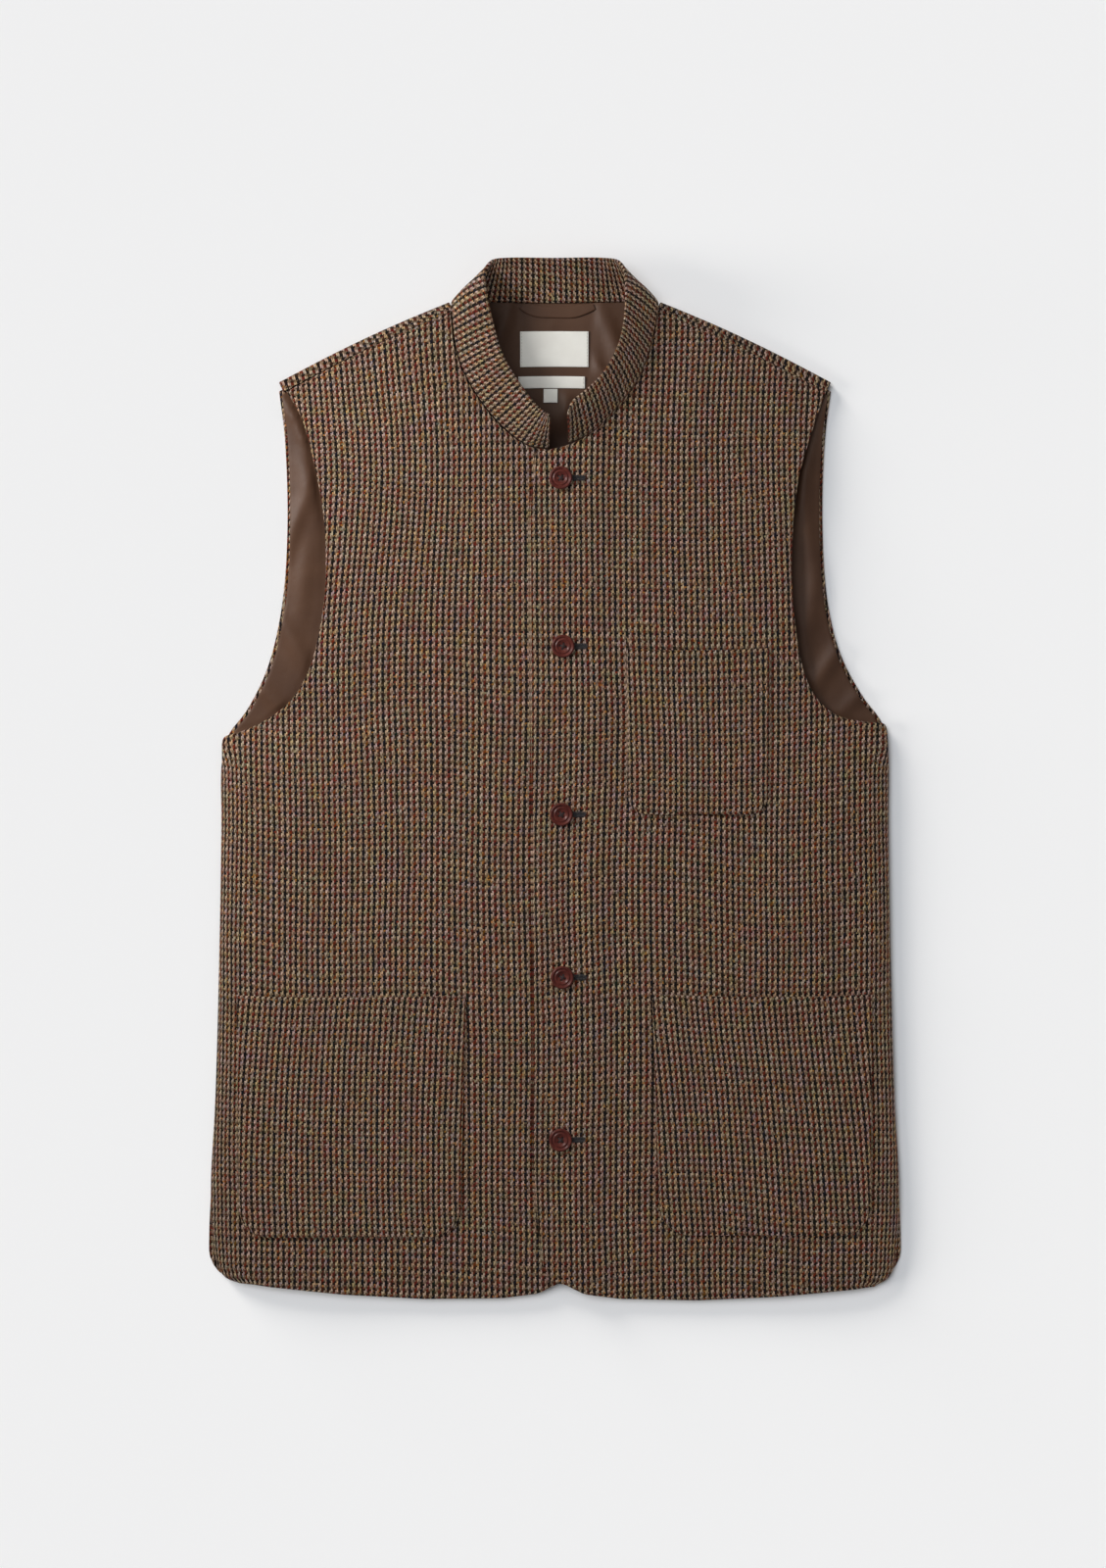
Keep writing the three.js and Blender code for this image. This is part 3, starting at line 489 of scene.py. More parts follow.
def front_grid(side):
    rows = LEFT_FRONT if side > 0 else RIGHT_FRONT
    inner = through([Vector((row["inner"], row["inner_y"], 0)) for row in rows], [NECK_ROW])
    outer = through([Vector((row["outer"], row["outer_y"], 0)) for row in rows])
    last = len(rows) - 1

    def distance(row):
        return max((inner(row + 1) - inner(row)).length, (outer(row + 1) - outer(row)).length)

    columns = round((rows[UNDERARM_ROW]["outer"] - rows[UNDERARM_ROW]["inner"]) / CLOTH_STEP)
    grid, weave = [], []
    for row in row_numbers(len(rows), distance, CLOTH_STEP):
        start, end = inner(row), outer(row)
        width = (end - start).length
        line = []
        for column in range(columns + 1):
            share = column / columns
            point = start.lerp(end, share)
            point.y -= read_table(HEM_DIP, "outward", "dip", width * share) * (1 - row / last) ** END_FADE
            point.y += SHOULDER["bow"] * math.sin(math.pi * share) * (row / last) ** END_FADE
            x = side * point.x
            line.append(Vector((x, point.y, front_under(x, point.y, side) + FRONT_CLOTH / 2)))
        grid.append(line if side > 0 else line[::-1])
        weave.append([front_weave(point.x, point.y, side) for point in grid[-1]])
    return grid, weave


def shoulder_point(side, share, inset):
    """A point on the shoulder's outline from the neck to the tip, moved in from it."""
    run = SHOULDER["tip_x"] - SHOULDER["neck_x"]
    fall = SHOULDER["tip_y"] - SHOULDER["neck_y"]
    length = math.hypot(run, fall)
    bow = SHOULDER["bow"] * math.sin(math.pi * share)
    x = side * (SHOULDER["neck_x"] + run * share + fall / length * inset)
    return x, SHOULDER["neck_y"] + fall * share + bow - run / length * inset


def neck_line(x):
    return NECK_EDGE["y"] + NECK_EDGE["rise"] * max(0, 1 - (abs(x) / NECK_EDGE["half"]) ** NECK_EDGE["power"])


def lining_neck_line(x):
    return LINING_NECK["y"] + LINING_NECK["rise"] * (1 - math.cos(math.pi * x / (2 * SHOULDER["neck_x"])))


def shoulder_line(x, inset):
    run = SHOULDER["tip_x"] - SHOULDER["neck_x"]
    slope = (SHOULDER["tip_y"] - SHOULDER["neck_y"]) / run
    share = min(max((abs(x) - SHOULDER["neck_x"]) / run, 0), 1)
    bow = SHOULDER["bow"] * math.sin(math.pi * share)
    return SHOULDER["neck_y"] + slope * (abs(x) - SHOULDER["neck_x"]) + bow - inset * math.hypot(1, slope)


def back_grid(inset, hem_y, top_y, height, step):
    """Rows of a piece as wide as the back, between its hem and its neck and shoulders."""
    rows = [{"x": read_table(BACK_SIDE, "y", "x", hem_y), "y": hem_y}]
    rows += [row for row in BACK_SIDE if row["y"] > hem_y]
    side = through([Vector((row["x"], row["y"], 0)) for row in rows])
    last = rows[-1]["y"]
    columns = 2 * round(BACK_SIDE[UNDERARM_ROW]["x"] / step)
    grid = []
    for row in row_numbers(len(rows), lambda row: (side(row + 1) - side(row)).length, step):
        edge = side(row)
        half = edge.x - inset(edge.y)
        up = (edge.y - hem_y) / (last - hem_y)
        lift = LEFT_ARMHOLE["lift"] * math.exp(-((edge.y - LEFT_ARMHOLE["y"]) / LEFT_ARMHOLE["reach"]) ** 2)
        line = []
        for column in range(columns + 1):
            across = 2 * column / columns - 1
            x = half * across
            y = edge.y + lift * max(0, across) ** LEFT_ARMHOLE["power"] + up ** 2 * (top_y(x) - last)
            line.append(Vector((x, y, height(x, y))))
        grid.append(line)
    return grid


def shoulder_roll_grid(side):
    """The cloth of the back that is rolled forward over one shoulder, to its seam with the front."""
    level = BACK_CLOTH / 2
    grid, weave = [], []
    for k in range(ROLL["steps"] + 1):
        share = lerp(ROLL["starts"], 1, k / ROLL["steps"])
        x, y = shoulder_point(side, share, SHOULDER_STRIP)
        radius = (front_under(x, y, side) + FRONT_CLOTH / 2 - level) / 2
        path = [(ROLL["from"], level)]
        for turn in range(0, 181, ROLL["turn"]):
            angle = math.radians(turn)
            path.append((level + radius * (1 - math.sin(angle)), level + radius * (1 - math.cos(angle))))
        path.append((SHOULDER_STRIP / 2 + level, level + 2 * radius))
        path.append((SHOULDER_STRIP + ROLL["tuck"], level + 2 * radius))
        line, places, run = [], [], 0
        for n, (inset, height) in enumerate(path):
            flat = shoulder_point(side, share, inset)
            if n:
                run += math.hypot(inset - path[n - 1][0], height - path[n - 1][1])
            line.append(Vector((*flat, height)))
            places.append((flat[0] + ROLL["stretch"] * side * run, y + run))
        grid.append(line[::-1] if side > 0 else line)
        weave.append(places[::-1] if side > 0 else places)
    return grid, weave


def collar_rows():
    """Foot, top and outward direction of the band at rows along it, each with its place along the seam."""
    feet = []
    for row in COLLAR:
        side = math.copysign(1, row["seam_x"])
        on_front = front_under(row["seam_x"], row["seam_y"], side) + FRONT_CLOTH / 2
        feet.append(Vector((row["seam_x"], row["seam_y"], lerp(BAND["back_z"], on_front, row["front"]))))
    seam = through(feet)
    edge = through([Vector((row["edge_x"], row["edge_y"], 0)) for row in COLLAR])
    last = len(COLLAR) - 1
    numbers = row_numbers(len(COLLAR), lambda row: (seam(row + 1) - seam(row)).length, COLLAR_STEP)
    numbers = [number for number in numbers if 0.9 < number < last - 0.9]
    numbers = [0, *BAND_END_ROWS, *numbers, *[last - near for near in reversed(BAND_END_ROWS)], last]
    rows, run, before = [], 0, seam(0)
    for number in numbers:
        foot, top = seam(number), edge(number)
        lean = math.hypot(top.x - foot.x, top.y - foot.y)
        stands = math.sqrt(BAND["height"] ** 2 - min(lean, BAND["lean"] * BAND["height"]) ** 2)
        top.z = foot.z + BAND["settle"] * stands
        ahead = seam(min(number + 0.05, last)) - seam(max(number - 0.05, 0))
        to_end = min((foot - feet[0]).length, (foot - feet[-1]).length)
        short = BAND["corner"] - min(to_end, BAND["corner"])
        height = 1 - (BAND["corner"] - math.sqrt(BAND["corner"] ** 2 - short ** 2)) / BAND["height"]
        run += (foot - before).length
        before = foot
        rows.append((foot, top - foot, ahead.cross(top - foot).normalized(), height, run))
    return rows


def collar_grid():
    grid, weave = [], []
    for foot, up, outward, height, run in collar_rows():
        line, places = [], []
        for ring in range(BAND["rings"] + 1):
            share = height * ring / BAND["rings"]
            bulge = BAND["bulge"] * 4 * share * (1 - share)
            line.append(foot + up * share + outward * bulge)
            places.append((run, share * BAND["height"]))
        grid.append(line)
        weave.append(places)
    return grid, weave


def pocket_grid(pocket):
    """A patch pocket lies on its front, with round lower corners and a mouth that stands off a little."""
    side = math.copysign(1, pocket["left"] + pocket["right"])
    radius = pocket["corner"]
    height = pocket["top"] - pocket["bottom"]
    turns = [math.pi / 2 * k / POCKET_CORNER_ROWS for k in range(POCKET_CORNER_ROWS)]
    rise = [radius * (1 - math.cos(turn)) for turn in turns]
    steps = round((height - radius) / POCKET_STEP)
    rise += [lerp(radius, height, k / steps) for k in range(steps + 1)]
    columns = round((pocket["right"] - pocket["left"]) / POCKET_STEP)
    grid, weave = [], []
    for up in rise:
        share = up / height
        short = radius - min(up, radius)
        corner = radius - math.sqrt(radius ** 2 - short ** 2)
        left = lerp(pocket["low_left"], pocket["left"], share) + corner
        right = lerp(pocket["low_right"], pocket["right"], share) - corner
        line, places = [], []
        for i in range(columns + 1):
            across = math.sin(math.pi * i / columns)
            x = lerp(left, right, i / columns)
            y = pocket["bottom"] + up - MOUTH["sag"] * across * share ** MOUTH["fade"]
            lift = MOUTH["lift"] * across * math.exp(-(height - up) / MOUTH["depth"])
            z = front_top(x, y, side) + POCKET_GAP + POCKET_CLOTH / 2 + lift
            line.append(Vector((x, y, z)))
            down = height - up
            drift = pocket["lean"] * down - pocket["turn_back"] * down ** 2 / (2 * height)
            places.append((x - side * drift + POCKET_GRAIN["x"], y + POCKET_GRAIN["y"]))
        grid.append(line)
        weave.append(places)
    return grid, weave


# Creases of the lining: the middle of each, its direction, half its length, half its width and its height.
# A crease is left out past CREASE_ENDS times its length and CREASE_SIDES times its width.
CREASE_ENDS = 2.5
CREASE_SIDES = 4
CREASES = table("x y turn long wide lift", [
    (-192, 283, 158, 16, 2.6, 0.9),
    (-189, 274, 150, 18, 2.8, 1.0),
    (-185, 264, 146, 20, 3.4, 0.9),
    (-182, 250, 130, 22, 4.5, 0.8),
    (-184, 222, 100, 26, 7.0, 0.7),
    (-192, 190, 72, 30, 6.0, 0.7),
    (-186, 150, 84, 40, 8.0, 0.5),
    (-197, 108, 118, 34, 6.0, 0.6),
    (-214, 66, 132, 30, 6.0, 0.6),
    (191, 268, 62, 26, 4.0, 0.8),
    (184, 226, 86, 34, 7.0, 0.6),
    (188, 178, 96, 36, 6.0, 0.6),
    (190, 130, 80, 34, 7.0, 0.5),
    (204, 88, 56, 36, 6.0, 0.7),
    (222, 60, 44, 24, 5.0, 0.5),
    (-1.5, 334, 91, 14, 1.1, 0.5),
    (-44, 322, 68, 30, 6.0, 0.9),
    (-58, 300, 60, 26, 5.0, 0.6),
    (46, 318, 112, 34, 6.0, 0.8),
    (36, 300, 128, 26, 4.0, 0.6),
    (6, 272, 84, 22, 7.0, 0.6),
])


# How high the lining's creases and waves stand where it shows, and where they end at a front and a label
RUMPLE = {"crease": 3.8, "wave": 1.6, "raised": 0.2, "front_from": -4, "front_to": 0, "armhole_y": 40}
NECK_SHOWS = {"less_wide": 12, "less_high": 6, "full": 0.82, "ends": 1.0}
HELD = {"label_edge": 7, "loop_from": 334, "loop_full": 341, "loop_half": 27, "loop_ends": 34}


def crease_at(x, y):
    total = 0
    for crease in CREASES:
        turn = math.radians(crease["turn"])
        along = (x - crease["x"]) * math.cos(turn) + (y - crease["y"]) * math.sin(turn)
        across = (y - crease["y"]) * math.cos(turn) - (x - crease["x"]) * math.sin(turn)
        if abs(along) < CREASE_ENDS * crease["long"] and abs(across) < CREASE_SIDES * crease["wide"]:
            fall = (across / crease["wide"]) ** 2 + (along / crease["long"]) ** 2
            total += crease["lift"] * math.exp(-fall)
    return total


def front_covers(x, y):
    """1 where a front lies over the lining, falling to 0 in the armholes and the neck."""
    side = math.copysign(1, x)
    in_armhole = 1 - smoothstep(from_side(x, y, side), RUMPLE["front_from"], RUMPLE["front_to"])
    half_width = NECK["half_width"] - NECK_SHOWS["less_wide"]
    half_height = NECK["half_height"] - NECK_SHOWS["less_high"]
    neck = math.hypot(x / half_width, (y - NECK["y"]) / half_height)
    in_neck = 1 - smoothstep(neck, NECK_SHOWS["full"], NECK_SHOWS["ends"])
    return 1 - max(in_armhole if y > RUMPLE["armhole_y"] else 0, in_neck)


def under_label(x, y):
    """1 under a label or the hanging loop, where the lining is held flat."""
    total = 0
    for label in LABELS:
        out_x = abs(x - label["x"]) - label["wide"] / 2
        out_y = abs(y - label["y"]) - label["high"] / 2
        total = max(total, 1 - smoothstep(max(out_x, out_y), 0, HELD["label_edge"]))
    loop = 1 - smoothstep(abs(x), HELD["loop_half"], HELD["loop_ends"])
    return max(total, smoothstep(y, HELD["loop_from"], HELD["loop_full"]) * loop)


def lining_height(x, y):
    open_part = (1 - front_covers(x, y)) * (1 - under_label(x, y))
    waves = RUMPLE["wave"] * (unevenness(x, y, 1) + RUMPLE["raised"])
    rumpled = RUMPLE["crease"] * crease_at(x, y) + waves
    return LINING_Z + LINING_CLOTH / 2 + open_part * rumpled


def lining_grid():
    def inset(y):
        at_armhole = smoothstep(y, LINING["armhole_from"], LINING["armhole_full"])
        return lerp(LINING["side_inset"], LINING["armhole_inset"], at_armhole)

    def top_y(x):
        leaves = SHOULDER["neck_x"] - LINING_NECK["leaves"]
        meets = SHOULDER["neck_x"] + LINING_NECK["meets"]
        past_neck = smoothstep(abs(x), leaves, meets)
        return lerp(lining_neck_line(x), shoulder_line(x, LINING["shoulder_inset"]), past_neck)

    return back_grid(inset, LINING["hem_y"], top_y, lining_height, LINING_STEP)


def label_grid(label):
    columns = max(4, round(label["wide"] / LABEL_STEP))
    rows = max(4, round(label["high"] / LABEL_STEP))
    grid = []
    for j in range(rows + 1):
        line = []
        for i in range(columns + 1):
            across = i / columns - 0.5
            lift = label["curl"] * 4 * across ** 2 * j / rows
            x = label["x"] + label["wide"] * across
            y = label["y"] + label["high"] * (j / rows - 0.5) - label["curl"] * 2 * across ** 2
            line.append(Vector((x, y, INSIDE_Z + LABEL_CLOTH / 2 + lift)))
        grid.append(line)
    return grid


def loop_grid():
    path = through([Vector((row["x"], row["y"], 0)) for row in LOOP_PATH])
    steps, rows = LOOP["steps"], LOOP["rows"]
    last = len(LOOP_PATH) - 1
    grid = []
    for j in range(rows + 1):
        line = []
        for i in range(steps + 1):
            number = last * i / steps
            centre = path(number)
            ahead = (path(min(number + 0.02, last)) - path(max(number - 0.02, 0))).normalized()
            across = (j / rows - 0.5) * LOOP["width"]
            top_y = LOOP["top_y"] - LOOP["apart"] * (rows - j) / rows
            y = min(centre.y + ahead.x * across, top_y)
            line.append(Vector((centre.x - ahead.y * across, y, INSIDE_Z + LOOP_CLOTH / 2)))
        grid.append(line)
    return grid


class Graph:
    """A node tree under construction, with short calls for the nodes used here."""

    def __init__(self, tree):
        self.tree = tree

    def feed(self, socket, value):
        if isinstance(value, bpy.types.NodeSocket):
            self.tree.links.new(value, socket)
        elif value is not None:
            socket.default_value = value

    def node(self, kind, inputs=None, **settings):
        made = self.tree.nodes.new(kind)
        for name, value in settings.items():
            setattr(made, name, value)
        for name, value in (inputs or {}).items():
            self.feed(made.inputs[name], value)
        return made

    def math(self, operation, *values):
        made = self.node("ShaderNodeMath", operation=operation)
        for socket, value in zip(made.inputs, values):
            self.feed(socket, value)
        return made.outputs[0]

    def mix(self, share, first, second, blend="MIX"):
        made = self.node("ShaderNodeMix", data_type="RGBA", blend_type=blend)
        self.feed(made.inputs[0], share)
        self.feed(made.inputs[6], first)
        self.feed(made.inputs[7], second)
        return made.outputs[2]

    def place(self, x, y, z=0.0):
        return self.node("ShaderNodeCombineXYZ", {"X": x, "Y": y, "Z": z}).outputs[0]

    def noise(self, vector, scale, detail=2.0, roughness=0.5):
        inputs = {"Vector": vector, "Scale": scale, "Detail": detail, "Roughness": roughness}
        return self.node("ShaderNodeTexNoise", inputs).outputs["Fac"]

    def wander(self, vector, way, plus):
        """A noise in three channels, taken times a reach and added to a vector."""
        inputs = {"Vector": vector, "Scale": way["scale"], "Detail": way["detail"]}
        made = self.node("ShaderNodeVectorMath", operation="MULTIPLY_ADD")
        self.feed(made.inputs[0], self.node("ShaderNodeTexNoise", inputs).outputs["Color"])
        self.feed(made.inputs[1], way["reach"])
        self.feed(made.inputs[2], plus)
        return made.outputs[0]

    def toned(self, shade, tone):
        """A colour made lighter or darker by a number."""
        return self.mix(1.0, shade, self.place(tone, tone, tone), "MULTIPLY")

    def chance(self, vector):
        return self.node("ShaderNodeTexWhiteNoise", {"Vector": vector}).outputs["Value"]

    def spread(self, value, low, high, out_low=0.0, out_high=1.0):
        inputs = {"Value": value, "From Min": low, "From Max": high, "To Min": out_low, "To Max": out_high}
        return self.node("ShaderNodeMapRange", inputs).outputs[0]

    def ramp(self, value, stops):
        """A colour ramp through (place, colour) stops."""
        made = self.node("ShaderNodeValToRGB", {"Fac": value})
        elements = made.color_ramp.elements
        while len(elements) < len(stops):
            elements.new(0.5)
        for element, (place, colour) in zip(elements, stops):
            element.position = place
            element.color = colour
        return made.outputs["Color"]


def colour(red, green, blue):
    """A colour given as it looks on a screen, from 0 to 255, as a linear one."""
    def linear(value):
        share = value / 255
        return share / 12.92 if share <= 0.04045 else ((share + 0.055) / 1.055) ** 2.4

    return (linear(red), linear(green), linear(blue), 1.0)


def shader_group(name, inputs, outputs, build):
    """A shader node group. Inputs are (name, kind, value), outputs are (name, kind)."""
    tree = bpy.data.node_groups.new(name, "ShaderNodeTree")
    for label, kind, value in inputs:
        socket = tree.interface.new_socket(name=label, in_out="INPUT", socket_type=f"NodeSocket{kind}")
        if value is not None:
            socket.default_value = value
    for label, kind in outputs:
        tree.interface.new_socket(name=label, in_out="OUTPUT", socket_type=f"NodeSocket{kind}")
    graph = Graph(tree)
    entry = graph.node("NodeGroupInput")
    made = build(graph, entry.outputs)
    leave = graph.node("NodeGroupOutput")
    for label, _ in outputs:
        graph.feed(leave.inputs[label], made[label])
    return tree


def use_group(graph, tree, **inputs):
    """Places a group in a material. An input's name has _ for each space."""
    made = graph.node("ShaderNodeGroup", node_tree=tree)
    for name, value in inputs.items():
        graph.feed(made.inputs[name.replace("_", " ")], value)
    return made.outputs


def build_twill(graph, given):
    """Which thread shows at a place in a two by two twill, and how high it stands.

    The floats of the warp reach over the picks beside them, so that more warp shows than weft.
    """
    split = graph.node("ShaderNodeSeparateXYZ", {"Vector": given["Place"]})
    warp = graph.math("DIVIDE", split.outputs["X"], given["Warp pitch"])
    weft = graph.math("DIVIDE", split.outputs["Y"], given["Weft pitch"])
    warp_number = graph.math("FLOOR", warp)
    weft_number = graph.math("FLOOR", weft)
    reach = given["Reach"]

    def from_middle(value, length):
        """A place along a length as -1 to 1 from end to end."""
        return graph.math("SUBTRACT", graph.math("DIVIDE", value, graph.math("MULTIPLY", length, 0.5)), 1.0)

    def dome(along, across, fall):
        """A long round hill: 1 in its middle and 0 at its ends and sides."""
        ends = graph.math("SUBTRACT", 1.0, graph.math("POWER", graph.math("ABSOLUTE", along), fall))
        sides = graph.math("SUBTRACT", 1.0, graph.math("POWER", graph.math("ABSOLUTE", across), 2.4))
        low_end = graph.math("POWER", graph.math("MAXIMUM", ends, 0.0), 0.5)
        return graph.math("MULTIPLY", low_end, graph.math("POWER", graph.math("MAXIMUM", sides, 0.0), 0.5))

    def run_from(value, start):
        """How far a thread has come since it last came up, in a repeat of four threads."""
        return graph.math("FLOORED_MODULO", graph.math("SUBTRACT", value, start), 4.0)

    warp_run = run_from(weft, graph.math("SUBTRACT", warp_number, graph.math("ADD", reach, 1.0)))
    warp_along = from_middle(warp_run, graph.math("MULTIPLY_ADD", reach, 2.0, 2.0))
    warp_across = from_middle(graph.math("FRACT", warp), 1.0)
    warp_stands = dome(warp_along, warp_across, 4.0)
    weft_run = run_from(warp, graph.math("ADD", weft_number, 2.0))
    weft_across = from_middle(graph.math("FRACT", weft), 1.0)
    weft_stands = graph.math("MULTIPLY", dome(from_middle(weft_run, 2.0), weft_across, 2.0), 0.72)
    over = graph.math("GREATER_THAN", warp_stands, graph.math("MULTIPLY", weft_stands, 0.8))
    return {
        "Warp over": over,
        "Warp number": warp_number,
        "Weft number": weft_number,
        "Height": graph.math("MAXIMUM", warp_stands, weft_stands),
    }


# The shades of each yarn in turn along it, and of the neps that are spun into it
WARP_YARNS = {
    "light": [
        (0.3, colour(155, 141, 119)), (0.4, colour(180, 150, 114)), (0.48, colour(161, 139, 124)),
        (0.56, colour(184, 161, 139)), (0.64, colour(153, 136, 132)), (0.74, colour(180, 153, 114)),
    ],
    "rust": [
        (0.3, colour(102, 66, 20)), (0.38, colour(108, 50, 18)), (0.46, colour(94, 28, 22)),
        (0.54, colour(70, 36, 24)), (0.62, colour(104, 38, 16)), (0.7, colour(84, 26, 34)),
    ],
    "dark": [
        (0.3, colour(18, 30, 20)), (0.38, colour(34, 24, 16)), (0.46, colour(18, 16, 15)),
        (0.54, colour(20, 22, 34)), (0.62, colour(38, 20, 13)), (0.7, colour(15, 28, 23)),
    ],
}
WEFT_YARNS = {
    "light": [(0.3, colour(114, 97, 77)), (0.5, colour(124, 101, 81)), (0.7, colour(116, 95, 70))],
    "rust": [(0.3, colour(46, 33, 20)), (0.5, colour(54, 31, 20)), (0.7, colour(40, 31, 22))],
    "dark": [(0.3, colour(23, 22, 17)), (0.5, colour(28, 21, 16)), (0.7, colour(21, 19, 18))],
}
NEP = [
    (0.2, colour(190, 126, 56)), (0.45, colour(178, 164, 130)),
    (0.65, colour(70, 88, 84)), (0.85, colour(146, 50, 32)),
]

# How a yarn changes along itself, with lengths in metres
YARN = {
    "shade_length": 0.011, "slub_length": 0.0024, "thin": 0.6, "thick": 1.42,
    "turn_length": 0.00105, "turn_slant": 3.4, "turn_tone": 0.13,
    "nep_length": 0.0019, "nep_from": 0.96, "nep_share": 0.62,
}
# How far apart two pairs of threads, and two threads, lie in the noise
NOISE_APART = {"pair": 7.31, "thread": 3.17}


def yarn_builder(yarns):
    """Builds the group that colours the threads of one direction."""

    def build(graph, given):
        """The colour of one thread: its turn in the stripe order, its heathered shade and its neps."""
        number, along, seed = given["Number"], given["Along"], given["Seed"]
        pair = graph.math("FLOOR", graph.math("DIVIDE", number, 2.0))
        turn = graph.math("FLOORED_MODULO", graph.math("ADD", pair, given["Shift"]), 4.0)

        def spot(step, apart, length):
            return graph.place(graph.math("MULTIPLY", step, apart), graph.math("DIVIDE", along, length), seed)

        shade = graph.noise(spot(pair, NOISE_APART["pair"], YARN["shade_length"]), 1.0, detail=1.5)
        is_rust = graph.math("COMPARE", turn, 1.0, 0.2)
        is_dark = graph.math("COMPARE", turn, 3.0, 0.2)
        yarn = graph.mix(is_rust, graph.ramp(shade, yarns["light"]), graph.ramp(shade, yarns["rust"]))
        yarn = graph.mix(is_dark, yarn, graph.ramp(shade, yarns["dark"]))
        body = graph.noise(spot(number, NOISE_APART["thread"], YARN["slub_length"]), 1.0, roughness=0.6)
        slub = graph.spread(body, 0.3, 0.7, YARN["thin"], YARN["thick"])
        slant = graph.math("MULTIPLY", given["Across"], YARN["turn_slant"])
        turns = graph.math("MULTIPLY_ADD", along, 2 * math.pi / YARN["turn_length"], slant)
        twist = graph.math("SINE", turns)
        tone = graph.math("MULTIPLY", slub, graph.math("MULTIPLY_ADD", twist, YARN["turn_tone"], 1.0))
        yarn = graph.toned(yarn, tone)
        length = graph.math("FLOOR", graph.math("DIVIDE", along, YARN["nep_length"]))
        is_nep = graph.math("GREATER_THAN", graph.chance(graph.place(number, length, seed)), YARN["nep_from"])
        nep = graph.ramp(graph.chance(graph.place(number, length, 5.0)), NEP)
        nep_share = graph.math("MULTIPLY", is_nep, YARN["nep_share"])
        return {"Colour": graph.mix(nep_share, yarn, nep), "Twist": twist}

    return build


def build_fibres(graph, given):
    """Fine wool fibres that lie over a place: a value round 0.5."""
    turned = graph.node("ShaderNodeMapping", {"Vector": given["Place"], "Rotation": (0, 0, 0.7)})
    stretched = graph.node("ShaderNodeMapping", {"Vector": turned.outputs[0], "Scale": (1, 0.25, 1)})
    first = graph.noise(stretched.outputs[0], given["Scale"], detail=3.0, roughness=0.65)
    crossed = graph.node("ShaderNodeMapping", {"Vector": given["Place"], "Rotation": (0, 0, -0.5)})
    stretched = graph.node("ShaderNodeMapping", {"Vector": crossed.outputs[0], "Scale": (0.25, 1, 1)})
    second = graph.noise(stretched.outputs[0], given["Scale"], detail=3.0, roughness=0.65)
    return {"Fibres": graph.math("MULTIPLY", graph.math("ADD", first, second), 0.5)}


def new_material(name, look):
    """A material whose Principled BSDF takes its fixed values on its own sockets."""
    material = bpy.data.materials.new(name)
    material.use_nodes = True
    shader = material.node_tree.nodes["Principled BSDF"]
    for label, value in look.items():
        shader.inputs[label].default_value = value
    return material, Graph(material.node_tree), shader


def make_groups():
    place = ("Place", "Vector", None)
    thread = [(label, "Float", 0.0) for label in ("Number", "Along", "Across", "Shift", "Seed")]
    made = [("Colour", "Color"), ("Twist", "Float")]
    return {
        "twill": shader_group(
            "Two by two twill",
            [place, ("Warp pitch", "Float", 0.001), ("Weft pitch", "Float", 0.001), ("Reach", "Float", 0.0)],
            [("Warp over", "Float"), ("Warp number", "Float"), ("Weft number", "Float"), ("Height", "Float")],
            build_twill,
        ),
        "warp": shader_group("Warp yarn", thread, made, yarn_builder(WARP_YARNS)),
        "weft": shader_group("Weft yarn", thread, made, yarn_builder(WEFT_YARNS)),
        "fibres": shader_group(
            "Wool fibres",
            [place, ("Scale", "Float", 1500.0)],
            [("Fibres", "Float")],
            build_fibres,
        ),
    }


# How the threads wander off their straight way, and how the dye of the wool varies over the cloth
WANDERS = {
    "drift": {"scale": 7.0, "detail": 0.0, "reach": (0.006, 0.028, 0.0)},
    "sway": {"scale": 24.0, "detail": 2.0, "reach": (0.0013, 0.0013, 0.0)},
    "fray": {"scale": 700.0, "detail": 2.0, "reach": (0.0011, 0.0009, 0.0)},
    "heather": {"scale": 90.0, "detail": 3.0, "reach": (0.5, 0.5, 0.7)},
}
HEATHER_LEAST = (0.765, 0.75, 0.66)
# Painted shade and light in the base colour: a thread is darkened where it sinks between its neighbours and
# lightened where it stands up
THREAD_PAINTED_SHADE = {"sunk": 0.54, "raised": 1.16}
FIBRES = {"scale": 1700.0, "dark": 0.7, "light": 1.3, "relief": 0.9}
TWIST_RELIEF = 0.07


